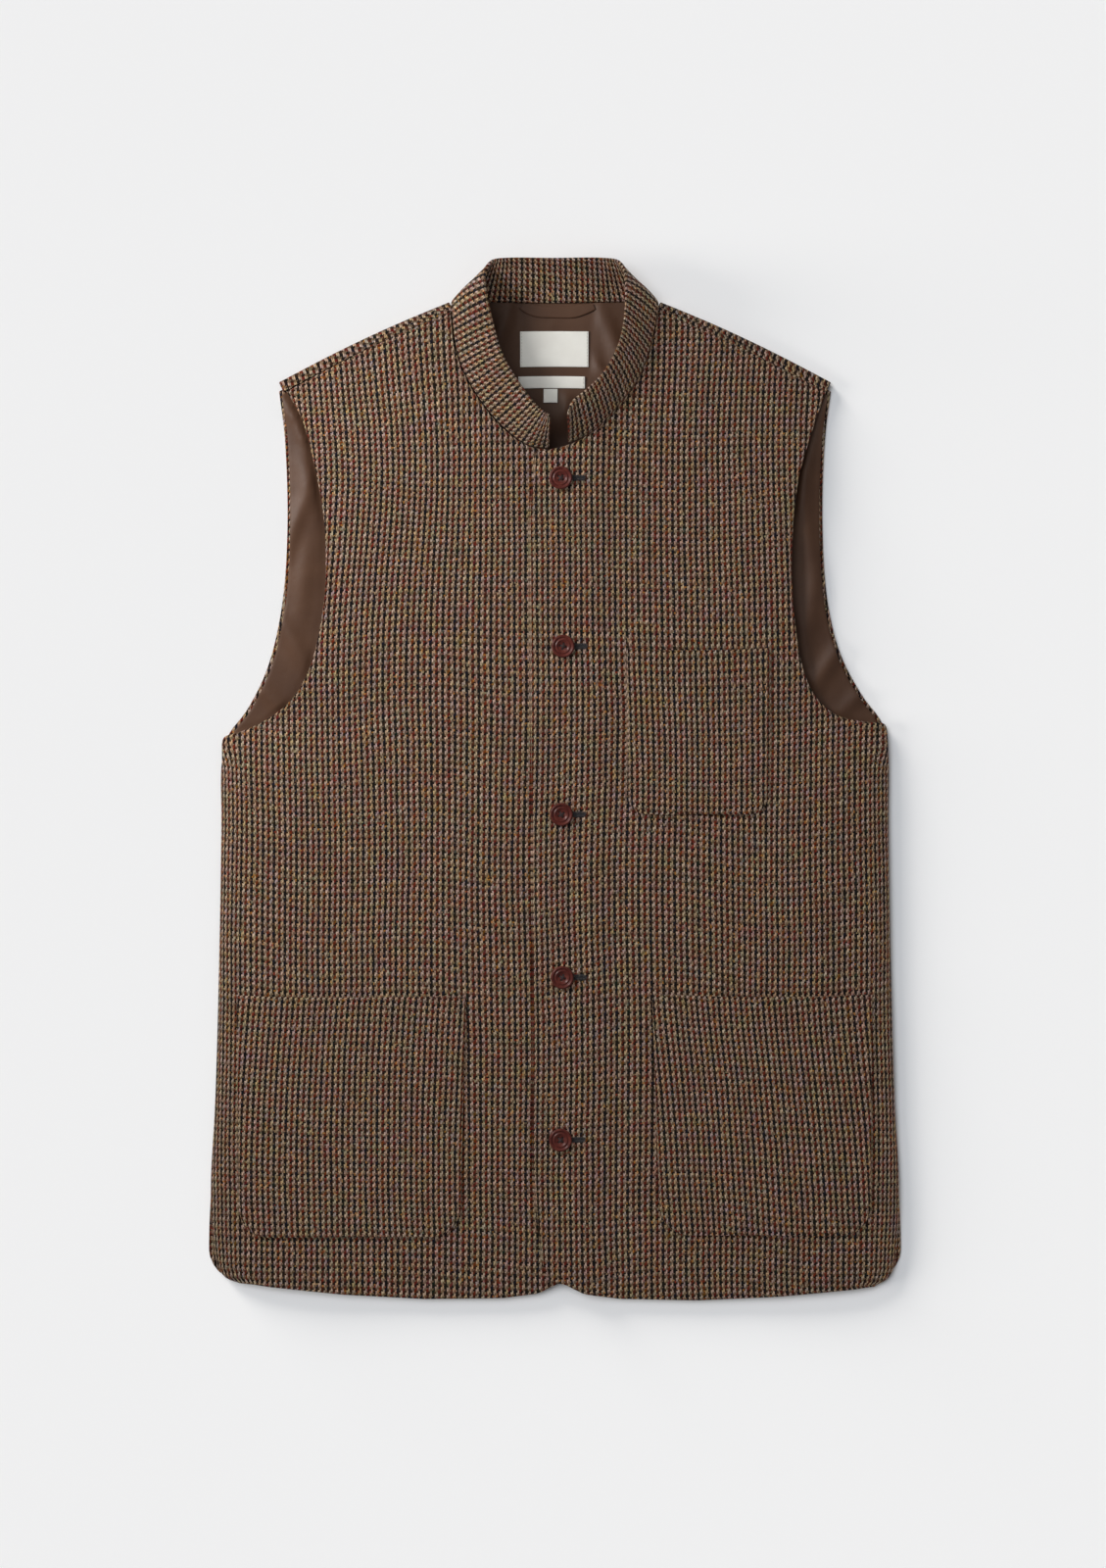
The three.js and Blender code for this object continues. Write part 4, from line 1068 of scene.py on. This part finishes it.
def make_tweed(groups):
    """Coarse wool cloth in fine light, rust and dark stripes that the weft crosses quietly."""
    look = {
        "Roughness": 0.95, "Specular IOR Level": 0.12,
        "Sheen Weight": 0.05, "Sheen Roughness": 0.5, "Sheen Tint": (1.0, 0.86, 0.72, 1.0),
    }
    material, graph, shader = new_material("tweed", look)
    flat = graph.node("ShaderNodeUVMap", uv_map="weave").outputs[0]
    drifted = graph.wander(flat, WANDERS["drift"], flat)
    swayed = graph.wander(drifted, WANDERS["sway"], drifted)
    place = graph.wander(drifted, WANDERS["fray"], swayed)
    split = graph.node("ShaderNodeSeparateXYZ", {"Vector": place}).outputs
    warp_pitch, weft_pitch = WARP_PITCH * MM, WEFT_PITCH * MM
    twill = use_group(
        graph, groups["twill"], Place=place, Warp_pitch=warp_pitch, Weft_pitch=weft_pitch, Reach=0.1,
    )
    warp = use_group(
        graph, groups["warp"], Number=twill["Warp number"], Along=split["Y"],
        Across=graph.math("DIVIDE", split["X"], warp_pitch), Shift=0.0, Seed=1.0,
    )
    weft = use_group(
        graph, groups["weft"], Number=twill["Weft number"], Along=split["X"],
        Across=graph.math("DIVIDE", split["Y"], weft_pitch), Shift=3.0, Seed=9.0,
    )
    fibres = use_group(graph, groups["fibres"], Place=place, Scale=FIBRES["scale"])["Fibres"]
    shown = graph.mix(twill["Warp over"], weft["Colour"], warp["Colour"])
    shown = graph.mix(1.0, shown, graph.wander(place, WANDERS["heather"], HEATHER_LEAST), "MULTIPLY")
    # Painted shade between the threads: the base colour darkens where the weave is low and lightens on the
    # crowns of the threads
    depth = graph.spread(twill["Height"], 0.0, 1.0, THREAD_PAINTED_SHADE["sunk"], THREAD_PAINTED_SHADE["raised"])
    strand = graph.spread(fibres, 0.32, 0.68, FIBRES["dark"], FIBRES["light"])
    graph.feed(shader.inputs["Base Color"], graph.toned(shown, graph.math("MULTIPLY", depth, strand)))
    twist = graph.node("ShaderNodeMix", data_type="FLOAT")
    graph.feed(twist.inputs[0], twill["Warp over"])
    graph.feed(twist.inputs[2], weft["Twist"])
    graph.feed(twist.inputs[3], warp["Twist"])
    relief = graph.math("MULTIPLY_ADD", fibres, FIBRES["relief"], twill["Height"])
    relief = graph.math("MULTIPLY_ADD", twist.outputs[0], TWIST_RELIEF, relief)
    bump = graph.node("ShaderNodeBump", {"Height": relief, "Strength": 0.8, "Distance": 0.0004})
    graph.feed(shader.inputs["Normal"], bump.outputs[0])
    return material


def make_satin():
    """The brown lining: a smooth, faintly ribbed satin."""
    look = {"Roughness": 0.42, "Specular IOR Level": 0.24, "Sheen Weight": 0.02, "Sheen Roughness": 0.35}
    material, graph, shader = new_material("satin_lining", look)
    place = graph.node("ShaderNodeTexCoord").outputs["Object"]
    shade = graph.noise(place, scale=22.0, detail=3.0, roughness=0.55)
    graph.feed(shader.inputs["Base Color"], graph.ramp(shade, [
        (0.3, colour(80, 55, 41)), (0.7, colour(96, 68, 51)),
    ]))
    ribs = graph.node("ShaderNodeTexWave", {"Vector": place, "Scale": 900.0, "Distortion": 0.6})
    rumple = graph.noise(place, scale=130.0, detail=3.0)
    relief = graph.math("ADD", graph.math("MULTIPLY", ribs.outputs["Fac"], 0.12), rumple)
    bump = graph.node("ShaderNodeBump", {"Height": relief, "Strength": 0.35, "Distance": 0.0006})
    graph.feed(shader.inputs["Normal"], bump.outputs[0])
    return material


def make_label_cloth():
    """Off-white damask ribbon."""
    look = {"Roughness": 0.62, "Specular IOR Level": 0.35, "Sheen Weight": 0.2}
    material, graph, shader = new_material("woven_label", look)
    place = graph.node("ShaderNodeTexCoord").outputs["Object"]
    wave = {"Vector": place, "Scale": 700.0, "Distortion": 0.4}
    threads = graph.node("ShaderNodeTexWave", wave, bands_direction="Y").outputs["Fac"]
    shade = graph.noise(place, scale=60.0, detail=3.0)
    tone = graph.ramp(shade, [(0.3, colour(238, 236, 229)), (0.7, colour(246, 245, 238))])
    graph.feed(shader.inputs["Base Color"], graph.toned(tone, graph.spread(threads, 0.0, 1.0, 0.92, 1.0)))
    bump = graph.node("ShaderNodeBump", {"Height": threads, "Strength": 0.4, "Distance": 0.0001})
    graph.feed(shader.inputs["Normal"], bump.outputs[0])
    return material


def make_button_finish():
    """Burgundy resin with soft darker clouds and a polished face."""
    look = {"Roughness": 0.34, "Specular IOR Level": 0.25, "Coat Weight": 0.04, "Coat Roughness": 0.25}
    material, graph, shader = new_material("button", look)
    place = graph.node("ShaderNodeTexCoord").outputs["Object"]
    cloud = graph.noise(place, scale=210.0, detail=4.0, roughness=0.6)
    graph.feed(shader.inputs["Base Color"], graph.ramp(cloud, [
        (0.3, colour(74, 29, 25)), (0.5, colour(95, 42, 35)), (0.72, colour(112, 55, 45)),
    ]))
    scratches = graph.noise(place, scale=900.0, roughness=0.6)
    graph.feed(shader.inputs["Roughness"], graph.spread(scratches, 0.3, 0.7, 0.22, 0.4))
    bump = graph.node("ShaderNodeBump", {"Height": cloud, "Strength": 0.1, "Distance": 0.0002})
    graph.feed(shader.inputs["Normal"], bump.outputs[0])
    return material


def make_thread(name, tone):
    """Twisted sewing thread."""
    material, graph, shader = new_material(name, {"Roughness": 0.6, "Sheen Weight": 0.3})
    place = graph.node("ShaderNodeTexCoord").outputs["Object"]
    twist = graph.noise(place, scale=2400.0)
    dark = tuple(0.55 * value for value in tone[:3]) + (1.0,)
    graph.feed(shader.inputs["Base Color"], graph.ramp(twist, [(0.35, dark), (0.65, tone)]))
    return material


def join_walls(walls):
    """Several closed walls as the points, faces and weave places of one mesh."""
    points, faces, places = [], [], []
    for wall_points, wall_faces, wall_places in walls:
        start = len(points)
        points += wall_points
        places += wall_places
        faces += [[start + corner for corner in face] for face in wall_faces]
    return points, faces, places


def flat_weave(grid):
    return [[(point.x, point.y) for point in line] for line in grid]


def cloth_piece(name, walls, material):
    points, faces, places = join_walls(walls)
    return mesh_piece(name, points, faces, material, weave=places)


def button_seat(x, y):
    """The lowest height at which a flat disc lies clear of the front below it."""
    heights = [front_top(x, y, 1)]
    radius = BUTTON["radius"]
    for k in range(8):
        angle = k * math.pi / 4
        heights.append(front_top(x + radius * math.cos(angle), y + radius * math.sin(angle), 1))
    return max(heights) + SEAM_GAP


def lathe(profile, segments):
    """Points and faces of a profile that starts and ends on the axis, turned round it."""
    points = [Vector((0, 0, profile[0][1]))]
    for out, up in profile[1:-1]:
        for k in range(segments):
            angle = 2 * math.pi * k / segments
            points.append(Vector((out * math.cos(angle), out * math.sin(angle), up)))
    points.append(Vector((0, 0, profile[-1][1])))
    faces, top = [], len(points) - 1
    rings = len(profile) - 2
    for k in range(segments):
        after = (k + 1) % segments
        faces.append((0, 1 + after, 1 + k))
        for ring in range(rings - 1):
            low, high = 1 + ring * segments, 1 + (ring + 1) * segments
            faces.append((low + k, low + after, high + after, high + k))
        last = 1 + (rings - 1) * segments
        faces.append((last + k, last + after, top))
    return points, faces


def cylinder(radius, size, x, y):
    """Points and faces of an upright cylinder, with its ends and its segments in size."""
    low, high = size["low"], size["high"]
    points, faces = lathe([(0, low), (radius, low), (radius, high), (0, high)], size["segments"])
    return [point + Vector((x, y, 0)) for point in points], faces


def make_button_mesh(material):
    """One button at the origin, with its four holes cut through."""
    profile = [(row["out"] * BUTTON["radius"], row["up"] * BUTTON["height"]) for row in BUTTON_PROFILE]
    body = mesh_piece("button_body", *lathe(profile, BUTTON["segments"]), material)
    reach = BUTTON["reach"] * math.sqrt(2)
    cutters = []
    for k in range(4):
        angle = math.radians(45 + 90 * k)
        hole = cylinder(BUTTON["hole"], HOLE_CUTTER, reach * math.cos(angle), reach * math.sin(angle))
        cutters.append((*hole, []))
    points, faces, _ = join_walls(cutters)
    cutter = mesh_piece("button_holes", points, faces, material)
    cut = body.modifiers.new("holes", "BOOLEAN")
    cut.object = cutter
    cut.solver = "EXACT"
    mesh = plain_mesh(body)
    mesh.name = "button"
    bpy.data.objects.remove(cutter)
    bpy.data.objects.remove(body)
    return mesh


def plain_mesh(piece):
    """The mesh of a piece with its modifiers applied."""
    graph = bpy.context.evaluated_depsgraph_get()
    return bpy.data.meshes.new_from_object(piece.evaluated_get(graph))


def place_mesh(name, mesh, matrix):
    """A copy of a mesh as an object at the origin, with its place in its mesh."""
    copy = mesh.copy()
    copy.name = name
    copy.transform(matrix)
    piece = bpy.data.objects.new(name, copy)
    bpy.context.collection.objects.link(piece)
    return piece


def at_button(row):
    place = Vector((row["x"], row["y"], button_seat(row["x"], row["y"]))) * MM
    return Matrix.Translation(place) @ Matrix.Rotation(math.radians(row["turn"]), 4, "Z")


def tube(path, radius, sides=8):
    """Points and faces of a closed tube of thread along a path."""
    points, faces = [], []
    for n, centre in enumerate(path):
        ahead = (path[min(n + 1, len(path) - 1)] - path[max(n - 1, 0)]).normalized()
        first = ahead.orthogonal().normalized()
        if abs(ahead.z) < 0.99:
            first = ahead.cross(Vector((0, 0, 1))).normalized()
        second = ahead.cross(first)
        for k in range(sides):
            angle = 2 * math.pi * k / sides
            points.append(centre + radius * (first * math.cos(angle) + second * math.sin(angle)))
    for n in range(len(path) - 1):
        for k in range(sides):
            after = (k + 1) % sides
            low, high = n * sides, (n + 1) * sides
            faces.append((low + k, high + k, high + after, low + after))
    faces.append(tuple(range(sides)))
    faces.append(tuple(len(points) - 1 - k for k in range(sides)))
    return points, faces


def button_threads(row):
    """Two crossed bars of thread through the holes and the shank under the button."""
    seat = button_seat(row["x"], row["y"])
    centre = Vector((row["x"], row["y"], seat))
    turn = Matrix.Rotation(math.radians(row["turn"]), 3, "Z")
    well = 0.5 * BUTTON["height"]
    strands = []
    for bar in (1, -1):
        arch = BUTTON_THREAD["rise"] + BUTTON_THREAD["cross"] * bar
        for shift in (-BUTTON_THREAD["apart"], 0, BUTTON_THREAD["apart"]):
            path = []
            aside = shift * BUTTON_THREAD["slant"]
            for k in range(BUTTON_THREAD["points"] + 1):
                angle = math.pi * k / BUTTON_THREAD["points"]
                along = -math.cos(angle) * BUTTON["reach"] * BUTTON_THREAD["wide"]
                dive = BUTTON_THREAD["dive"] * abs(math.cos(angle)) ** BUTTON_THREAD["steep"]
                rise = well + arch * math.sin(angle) ** BUTTON_THREAD["round"] - dive
                path.append(centre + turn @ Vector((along - bar * aside, bar * along + aside, rise)))
            strands.append((*tube(path, BUTTON_THREAD["thick"]), []))
    angles = [2 * math.pi * k / SHANK["points"] for k in range(SHANK["points"])]
    ring = [Vector((math.cos(angle), math.sin(angle), 0)) * SHANK["radius"] for angle in angles]
    for level in range(SHANK["turns"]):
        middle = centre + Vector((0, 0, SHANK["low"] + SHANK["apart"] * level))
        strands.append((*tube([middle + point for point in ring], SHANK["thick"], 6), []))
    return join_walls(strands)


def stitch_tree(name):
    """Geometry Nodes that lay short arched stitches along the edges of a mesh."""
    tree = bpy.data.node_groups.new(name, "GeometryNodeTree")
    face = tree.interface
    face.new_socket(name="Geometry", in_out="INPUT", socket_type="NodeSocketGeometry")
    sizes = {"Spacing": 0.003, "Length": 0.002, "Thread": 0.0003, "Arch": 0.0004, "Turn": 0.0}
    for label, value in sizes.items():
        face.new_socket(name=label, in_out="INPUT", socket_type="NodeSocketFloat").default_value = value
    face.new_socket(name="Seed", in_out="INPUT", socket_type="NodeSocketInt").default_value = 1
    face.new_socket(name="Material", in_out="INPUT", socket_type="NodeSocketMaterial")
    face.new_socket(name="Geometry", in_out="OUTPUT", socket_type="NodeSocketGeometry")
    graph = Graph(tree)
    given = graph.node("NodeGroupInput").outputs
    path = graph.node("GeometryNodeMeshToCurve", {"Mesh": given["Geometry"]}).outputs[0]
    path = graph.node("GeometryNodeResampleCurve", {"Curve": path, "Length": given["Spacing"]}, mode="LENGTH")
    half = graph.math("MULTIPLY", given["Length"], 0.5)
    back = graph.math("MULTIPLY", given["Length"], -0.5)
    bow = graph.node("GeometryNodeCurveQuadraticBezier", {
        "Resolution": 6,
        "Start": graph.place(back, 0.0, 0.0),
        "Middle": graph.place(0.0, 0.0, graph.math("MULTIPLY", given["Arch"], 2.0)),
        "End": graph.place(half, 0.0, 0.0),
    })
    ring = graph.node("GeometryNodeCurvePrimitiveCircle", {"Resolution": 6, "Radius": given["Thread"]})
    stitch = graph.node("GeometryNodeCurveToMesh", {
        "Curve": bow.outputs[0], "Profile Curve": ring.outputs[0], "Fill Caps": True,
    })
    ahead = graph.node("GeometryNodeInputTangent").outputs[0]
    facing = graph.node("FunctionNodeAlignRotationToVector", {"Vector": ahead}, axis="X", pivot_axis="Z")
    swings = {"Min": -0.07, "Max": 0.07, "Seed": given["Seed"]}
    sway = graph.node("FunctionNodeRandomValue", swings, data_type="FLOAT")
    swing = graph.math("ADD", given["Turn"], sway.outputs[1])
    turned = graph.node("FunctionNodeRotateRotation", {
        "Rotation": facing.outputs[0], "Rotate By": graph.place(0.0, 0.0, swing),
    }, rotation_space="LOCAL")
    placed = graph.node("GeometryNodeInstanceOnPoints", {
        "Points": path.outputs[0], "Instance": stitch.outputs[0], "Rotation": turned.outputs[0],
    })
    real = graph.node("GeometryNodeRealizeInstances", {"Geometry": placed.outputs[0]})
    smooth = graph.node("GeometryNodeSetShadeSmooth", {"Geometry": real.outputs[0]})
    dressed = graph.node("GeometryNodeSetMaterial", {
        "Geometry": smooth.outputs[0], "Material": given["Material"],
    })
    graph.feed(graph.node("NodeGroupOutput").inputs["Geometry"], dressed.outputs[0])
    return tree


def grown_piece(name, base, tree, **inputs):
    """Runs a Geometry Nodes tree on a base object and keeps the plain mesh that it makes."""
    modifier = base.modifiers.new("grow", "NODES")
    modifier.node_group = tree
    sockets = {item.name: item.identifier for item in tree.interface.items_tree if item.in_out == "INPUT"}
    for label, value in inputs.items():
        modifier[sockets[label]] = value
    mesh = plain_mesh(base)
    mesh.name = name
    bpy.data.objects.remove(base)
    piece = bpy.data.objects.new(name, mesh)
    bpy.context.collection.objects.link(piece)
    return piece


def line_base(paths):
    """A mesh of open or closed polylines, as a base for stitches."""
    points, edges = [], []
    for path in paths:
        start = len(points)
        points += [Vector(point) * MM for point in path]
        edges += [(start + k, start + k + 1) for k in range(len(path) - 1)]
    mesh = bpy.data.meshes.new("stitch_line")
    mesh.from_pydata(points, edges, [])
    base = bpy.data.objects.new("stitch_line", mesh)
    bpy.context.collection.objects.link(base)
    return base


# A worked buttonhole: from under the button outwards, its slit and the bars of thread round it
BUTTONHOLE = {"from": 1.5, "to": 16.5, "half": 1.15, "lift": 0.05, "steps": 10, "end_steps": 6}
# The strip of dark thread that is painted shadow in the slit: its points, how far it runs past the slit's
# end, its lift and its radius
SLIT_SHADOW = {"points": 12, "past": 0.6, "lift": 0.02, "thick": 0.32}


def buttonhole_path(row):
    """A narrow closed loop round the slit, just above the cloth."""
    start, end, half = BUTTONHOLE["from"], BUTTONHOLE["to"], BUTTONHOLE["half"]
    steps, end_steps = BUTTONHOLE["steps"], BUTTONHOLE["end_steps"]
    angles = [math.pi * k / end_steps for k in range(1, end_steps)]
    outline = [(lerp(start, end, k / steps), half) for k in range(steps + 1)]
    outline += [(end + half * math.sin(angle), half * math.cos(angle)) for angle in angles]
    outline += [(lerp(end, start, k / steps), -half) for k in range(steps + 1)]
    points = []
    for along, across in outline:
        x, y = row["x"] + along, row["y"] + across
        points.append((x, y, front_top(x, y, 1) + BUTTONHOLE["lift"]))
    return points


def make_slit_shadow(row):
    """Painted shadow of the cut between the stitches: a thin sunk strip of dark thread along the slit."""
    path = []
    for k in range(SLIT_SHADOW["points"]):
        along = lerp(BUTTONHOLE["from"], BUTTONHOLE["to"] + SLIT_SHADOW["past"], k / (SLIT_SHADOW["points"] - 1))
        x = row["x"] + along
        path.append(Vector((x, row["y"], front_top(x, row["y"], 1) + SLIT_SHADOW["lift"])))
    return tube(path, SLIT_SHADOW["thick"], 6)


# Flat sizes of the large cuts, as width and length in metres
FLAT = {"back": (0.514, 0.736), "back_lining": (0.506, 0.7), "front": (0.276, 0.735), "collar": (0.41, 0.036)}


def dress_cloth(tweed, satin, ribbon):
    """Every cloth piece with its node, its flat size and what it lies on."""
    pieces = {}

    def keep(node, name, walls, material, flat, area, rests_on):
        piece = cloth_piece(name, walls, material)
        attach(piece, BODY)
        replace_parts(piece, node)
        pieces[node] = (piece, flat, area, rests_on)

    flat_back = back_grid(
        lambda y: 0,
        BACK_SIDE[0]["y"],
        lambda x: neck_line(x) if abs(x) < SHOULDER["neck_x"] else shoulder_line(x, ROLL["back_cut"]),
        lambda x, y: BACK_CLOTH / 2,
        BACK_STEP,
    )
    rolls = [shoulder_roll_grid(side) for side in (1, -1)]
    walls = [cloth_wall(flat_back, BACK_CLOTH, flat_weave(flat_back))]
    walls += [cloth_wall(grid, BACK_CLOTH, weave) for grid, weave in rolls]
    area = area_of(flat_back) + sum(area_of(grid) for grid, _ in rolls)
    keep("back", "tweed_back", walls, tweed, FLAT["back"], area, [])

    grid = lining_grid()
    walls = [cloth_wall(grid, LINING_CLOTH, flat_weave(grid))]
    area = area_of(grid)
    flat = FLAT["back_lining"]
    keep("back_lining", "satin_back_lining", walls, satin, flat, area, ["back"])

    for side, node in ((-1, "front_right"), (1, "front_left")):
        grid, weave = front_grid(side)
        under = ["back_lining"] if side < 0 else ["back_lining", "front_right"]
        walls = [cloth_wall(grid, FRONT_CLOTH, weave)]
        keep(node, f"tweed_{node}", walls, tweed, FLAT["front"], area_of(grid), under)

    grid, weave = collar_grid()
    walls = [cloth_wall(grid, COLLAR_CLOTH, weave)]
    under = ["front_left", "front_right"]
    keep("collar", "tweed_collar", walls, tweed, FLAT["collar"], area_of(grid), under)

    for pocket in POCKETS:
        grid, weave = pocket_grid(pocket)
        flat = ((pocket["right"] - pocket["left"]) * MM, (pocket["top"] - pocket["bottom"]) * MM)
        walls = [cloth_wall(grid, POCKET_CLOTH, weave)]
        under = ["front_right" if pocket["left"] < 0 else "front_left"]
        keep(pocket["node"], f"tweed_{pocket['node']}", walls, tweed, flat, area_of(grid), under)

    grid = loop_grid()
    walls = [cloth_wall(grid, LOOP_CLOTH, flat_weave(grid))]
    keep("hanger_loop", "satin_hanger_loop", walls, satin, None, None, None)
    for label in LABELS:
        grid = label_grid(label)
        walls = [cloth_wall(grid, LABEL_CLOTH, flat_weave(grid))]
        flat = (label["wide"] * MM, label["high"] * MM)
        name = f"cloth_{label['node']}"
        keep(label["node"], name, walls, ribbon, flat, area_of(grid), ["back_lining"])
    return pieces


NARROW_BITS = ["hanger_loop", "strip_label", "size_tab"]


def declare_sheets(pieces):
    """Works out the area of each cut of cloth, kept just under its flat size, and leaves out the narrow bits
    sewn on the lining.
    """
    for node, (piece, flat, area, rests_on) in pieces.items():
        if node in NARROW_BITS:
            continue
        area = min(area, 0.999 * flat[0] * flat[1])


def make_buttons(finish, thread, hole_thread, stitches):
    """The buttons, the thread that holds them and their worked buttonholes."""
    mesh = make_button_mesh(finish)
    for k, row in enumerate(BUTTONS):
        button = place_mesh(f"resin_button_{k + 1}", mesh, at_button(row))
        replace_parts(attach(button, BODY), f"button_{k + 1}")
        points, faces, _ = button_threads(row)
        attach(mesh_piece(f"button_thread_{k + 1}", points, faces, thread), BODY)
        base = line_base([buttonhole_path(row)])
        worked = grown_piece(
            f"buttonhole_{k + 1}", base, stitches, Spacing=0.00062, Length=0.0019, Thread=0.00024,
            Arch=0.00034, Turn=math.pi / 2, Seed=k + 3, Material=hole_thread,
        )
        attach(worked, BODY)
        # The painted shadow of the slit's cut, a strip of dark thread
        slit = mesh_piece(f"buttonhole_slit_{k + 1}", *make_slit_shadow(row), hole_thread)
        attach(slit, BODY)


# How far the stitches of a label lie inside its sides, and how high they lie over it
LABEL_SEAM = {"side": 1.1, "low": 1.2, "high": 1.6, "lift": 0.05, "steps": 8}


def label_stitches(thread, stitches):
    """Small stitches that hold the ends of the two larger labels to the lining."""
    paths = []
    for label in LABELS[:2]:
        low = label["y"] - label["high"] / 2 + LABEL_SEAM["low"]
        high = label["y"] + label["high"] / 2 - LABEL_SEAM["high"]
        bottom = INSIDE_Z + LABEL_CLOTH + LABEL_SEAM["lift"]
        drop, steps = label["curl"] / 2, LABEL_SEAM["steps"]
        shares = [k / steps for k in range(steps + 1)]
        rise = [(lerp(low, high, share) - drop, bottom + label["curl"] * share) for share in shares]
        for end in (-1, 1):
            x = label["x"] + end * (label["wide"] / 2 - LABEL_SEAM["side"])
            paths.append([(x, y, z) for y, z in rise])
    base = line_base(paths)
    sewn = grown_piece(
        "label_stitches", base, stitches, Spacing=0.0022, Length=0.0013, Thread=0.00014,
        Arch=0.00012, Turn=0.0, Seed=11, Material=thread,
    )
    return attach(sewn, BODY)


FLOOR = {"half": 12000, "colour": (0.912, 0.91, 0.912, 1.0)}


def make_floor():
    """A plain pale floor."""
    half = FLOOR["half"]
    corners = [(-half, -half, 0), (half, -half, 0), (half, half, 0), (-half, half, 0)]
    material, _, shader = new_material("floor", {"Roughness": 1.0, "Specular IOR Level": 0.0})
    shader.inputs["Base Color"].default_value = FLOOR["colour"]
    floor = mesh_piece("floor", corners, [(0, 1, 2, 3)], material, smooth=False)
    return floor


# The sun lamps: where each comes from, its width in degrees, its strength and its tint. The first word of a
# name begins the names of the pieces that it lights, and top lights them all.
SUNS = {
    "floor_key": {"from": (-0.62, 0.75, 0.2), "spread": 21, "strength": 3.85, "tint": (1.02, 0.978, 0.918)},
    "floor_side": {"from": (-0.97, -0.05, 0.2), "spread": 21, "strength": 2.0, "tint": (1.02, 0.978, 0.918)},
    "floor_top": {"from": (-0.5, 0.4, 1.0), "spread": 46, "strength": 0.82, "tint": (0.93, 1.0, 1.1)},
    "top": {"from": (-0.5, 0.4, 1.0), "spread": 46, "strength": 0.63, "tint": (1.0, 0.995, 0.99)},
    "tweed_fill": {"from": (0.9, -0.2, 0.35), "spread": 60, "strength": 0.78, "tint": (1.0, 1.0, 1.0)},
    "cloth_fill": {"from": (0.0, 0.2, 1.0), "spread": 60, "strength": 0.4, "tint": (1.0, 1.0, 1.0)},
}
SURROUNDING = {"tint": (0.97, 0.985, 1.0, 1.0), "strength": 0.2}

# The lamp beside the upper left of the garment. It lights only the garment, because the floor of the
# photo is evenly bright while the cloth darkens away from the lamp.
CLOTH_KEY = {"x": -700, "y": 450, "z": 500, "size": 340, "power": 6.1, "tint": (1.0, 0.985, 0.96)}


def lamp_from(name, kind, away):
    """A lamp that shines back along a direction."""
    lamp = bpy.data.objects.new(name, bpy.data.lights.new(name, kind))
    lamp.rotation_euler = away.to_track_quat("Z", "Y").to_euler()
    bpy.context.collection.objects.link(lamp)
    return lamp


def light_only(lamp, pieces):
    """Limits a lamp to some pieces, while every piece still shades the others."""
    lit = bpy.data.collections.new(f"lit_by_{lamp.name}")
    for piece in pieces:
        lit.objects.link(piece)
    lamp.light_linking.receiver_collection = lit


def make_lights(floor):
    """The suns, the lamp beside the garment and a pale surrounding."""
    world = bpy.data.worlds.new("studio")
    world.use_nodes = True
    background = world.node_tree.nodes["Background"]
    background.inputs["Color"].default_value = SURROUNDING["tint"]
    background.inputs["Strength"].default_value = SURROUNDING["strength"]
    bpy.context.scene.world = world
    garment = [piece for piece in bpy.data.objects if piece.type == "MESH" and piece is not floor]
    for name, light in SUNS.items():
        lamp = lamp_from(name, "SUN", Vector(light["from"]))
        lamp.data.energy = light["strength"]
        lamp.data.angle = math.radians(light["spread"])
        lamp.data.color = light["tint"]
        lit = name.split("_")[0]
        if lit != "top":
            light_only(lamp, [piece for piece in [floor, *garment] if piece.name.startswith(lit)])
    place = Vector((CLOTH_KEY["x"], CLOTH_KEY["y"], CLOTH_KEY["z"])) * MM
    lamp = lamp_from("cloth_key", "AREA", place)
    lamp.location = place
    lamp.data.shape = "DISK"
    lamp.data.size = CLOTH_KEY["size"] * MM
    lamp.data.energy = CLOTH_KEY["power"]
    lamp.data.color = CLOTH_KEY["tint"]
    light_only(lamp, garment)


# The camera looks straight down on the middle of the waistcoat
CAMERA = {"lens": 85, "sensor": 36, "x": -1.4, "y": -2.9, "height": 2743, "sees_to": 20}


def make_camera():
    data = bpy.data.cameras.new("above")
    data.lens = CAMERA["lens"]
    data.sensor_width = CAMERA["sensor"]
    data.clip_end = CAMERA["sees_to"]
    camera = bpy.data.objects.new("above", data)
    camera.location = Vector((CAMERA["x"], CAMERA["y"], CAMERA["height"])) * MM
    bpy.context.collection.objects.link(camera)
    bpy.context.scene.camera = camera


def main():
    bpy.context.scene.view_settings.view_transform = "Standard"
    make_camera()
    groups = make_groups()
    tweed = make_tweed(groups)
    satin = make_satin()
    ribbon = make_label_cloth()
    pieces = dress_cloth(tweed, satin, ribbon)
    declare_sheets(pieces)
    stitches = stitch_tree("Stitches along a line")
    make_buttons(
        make_button_finish(), make_thread("button_thread", colour(52, 26, 26)),
        make_thread("buttonhole_thread", colour(34, 30, 36)), stitches,
    )
    label_stitches(make_thread("label_thread", colour(206, 202, 192)), stitches)
    make_lights(make_floor())


main()
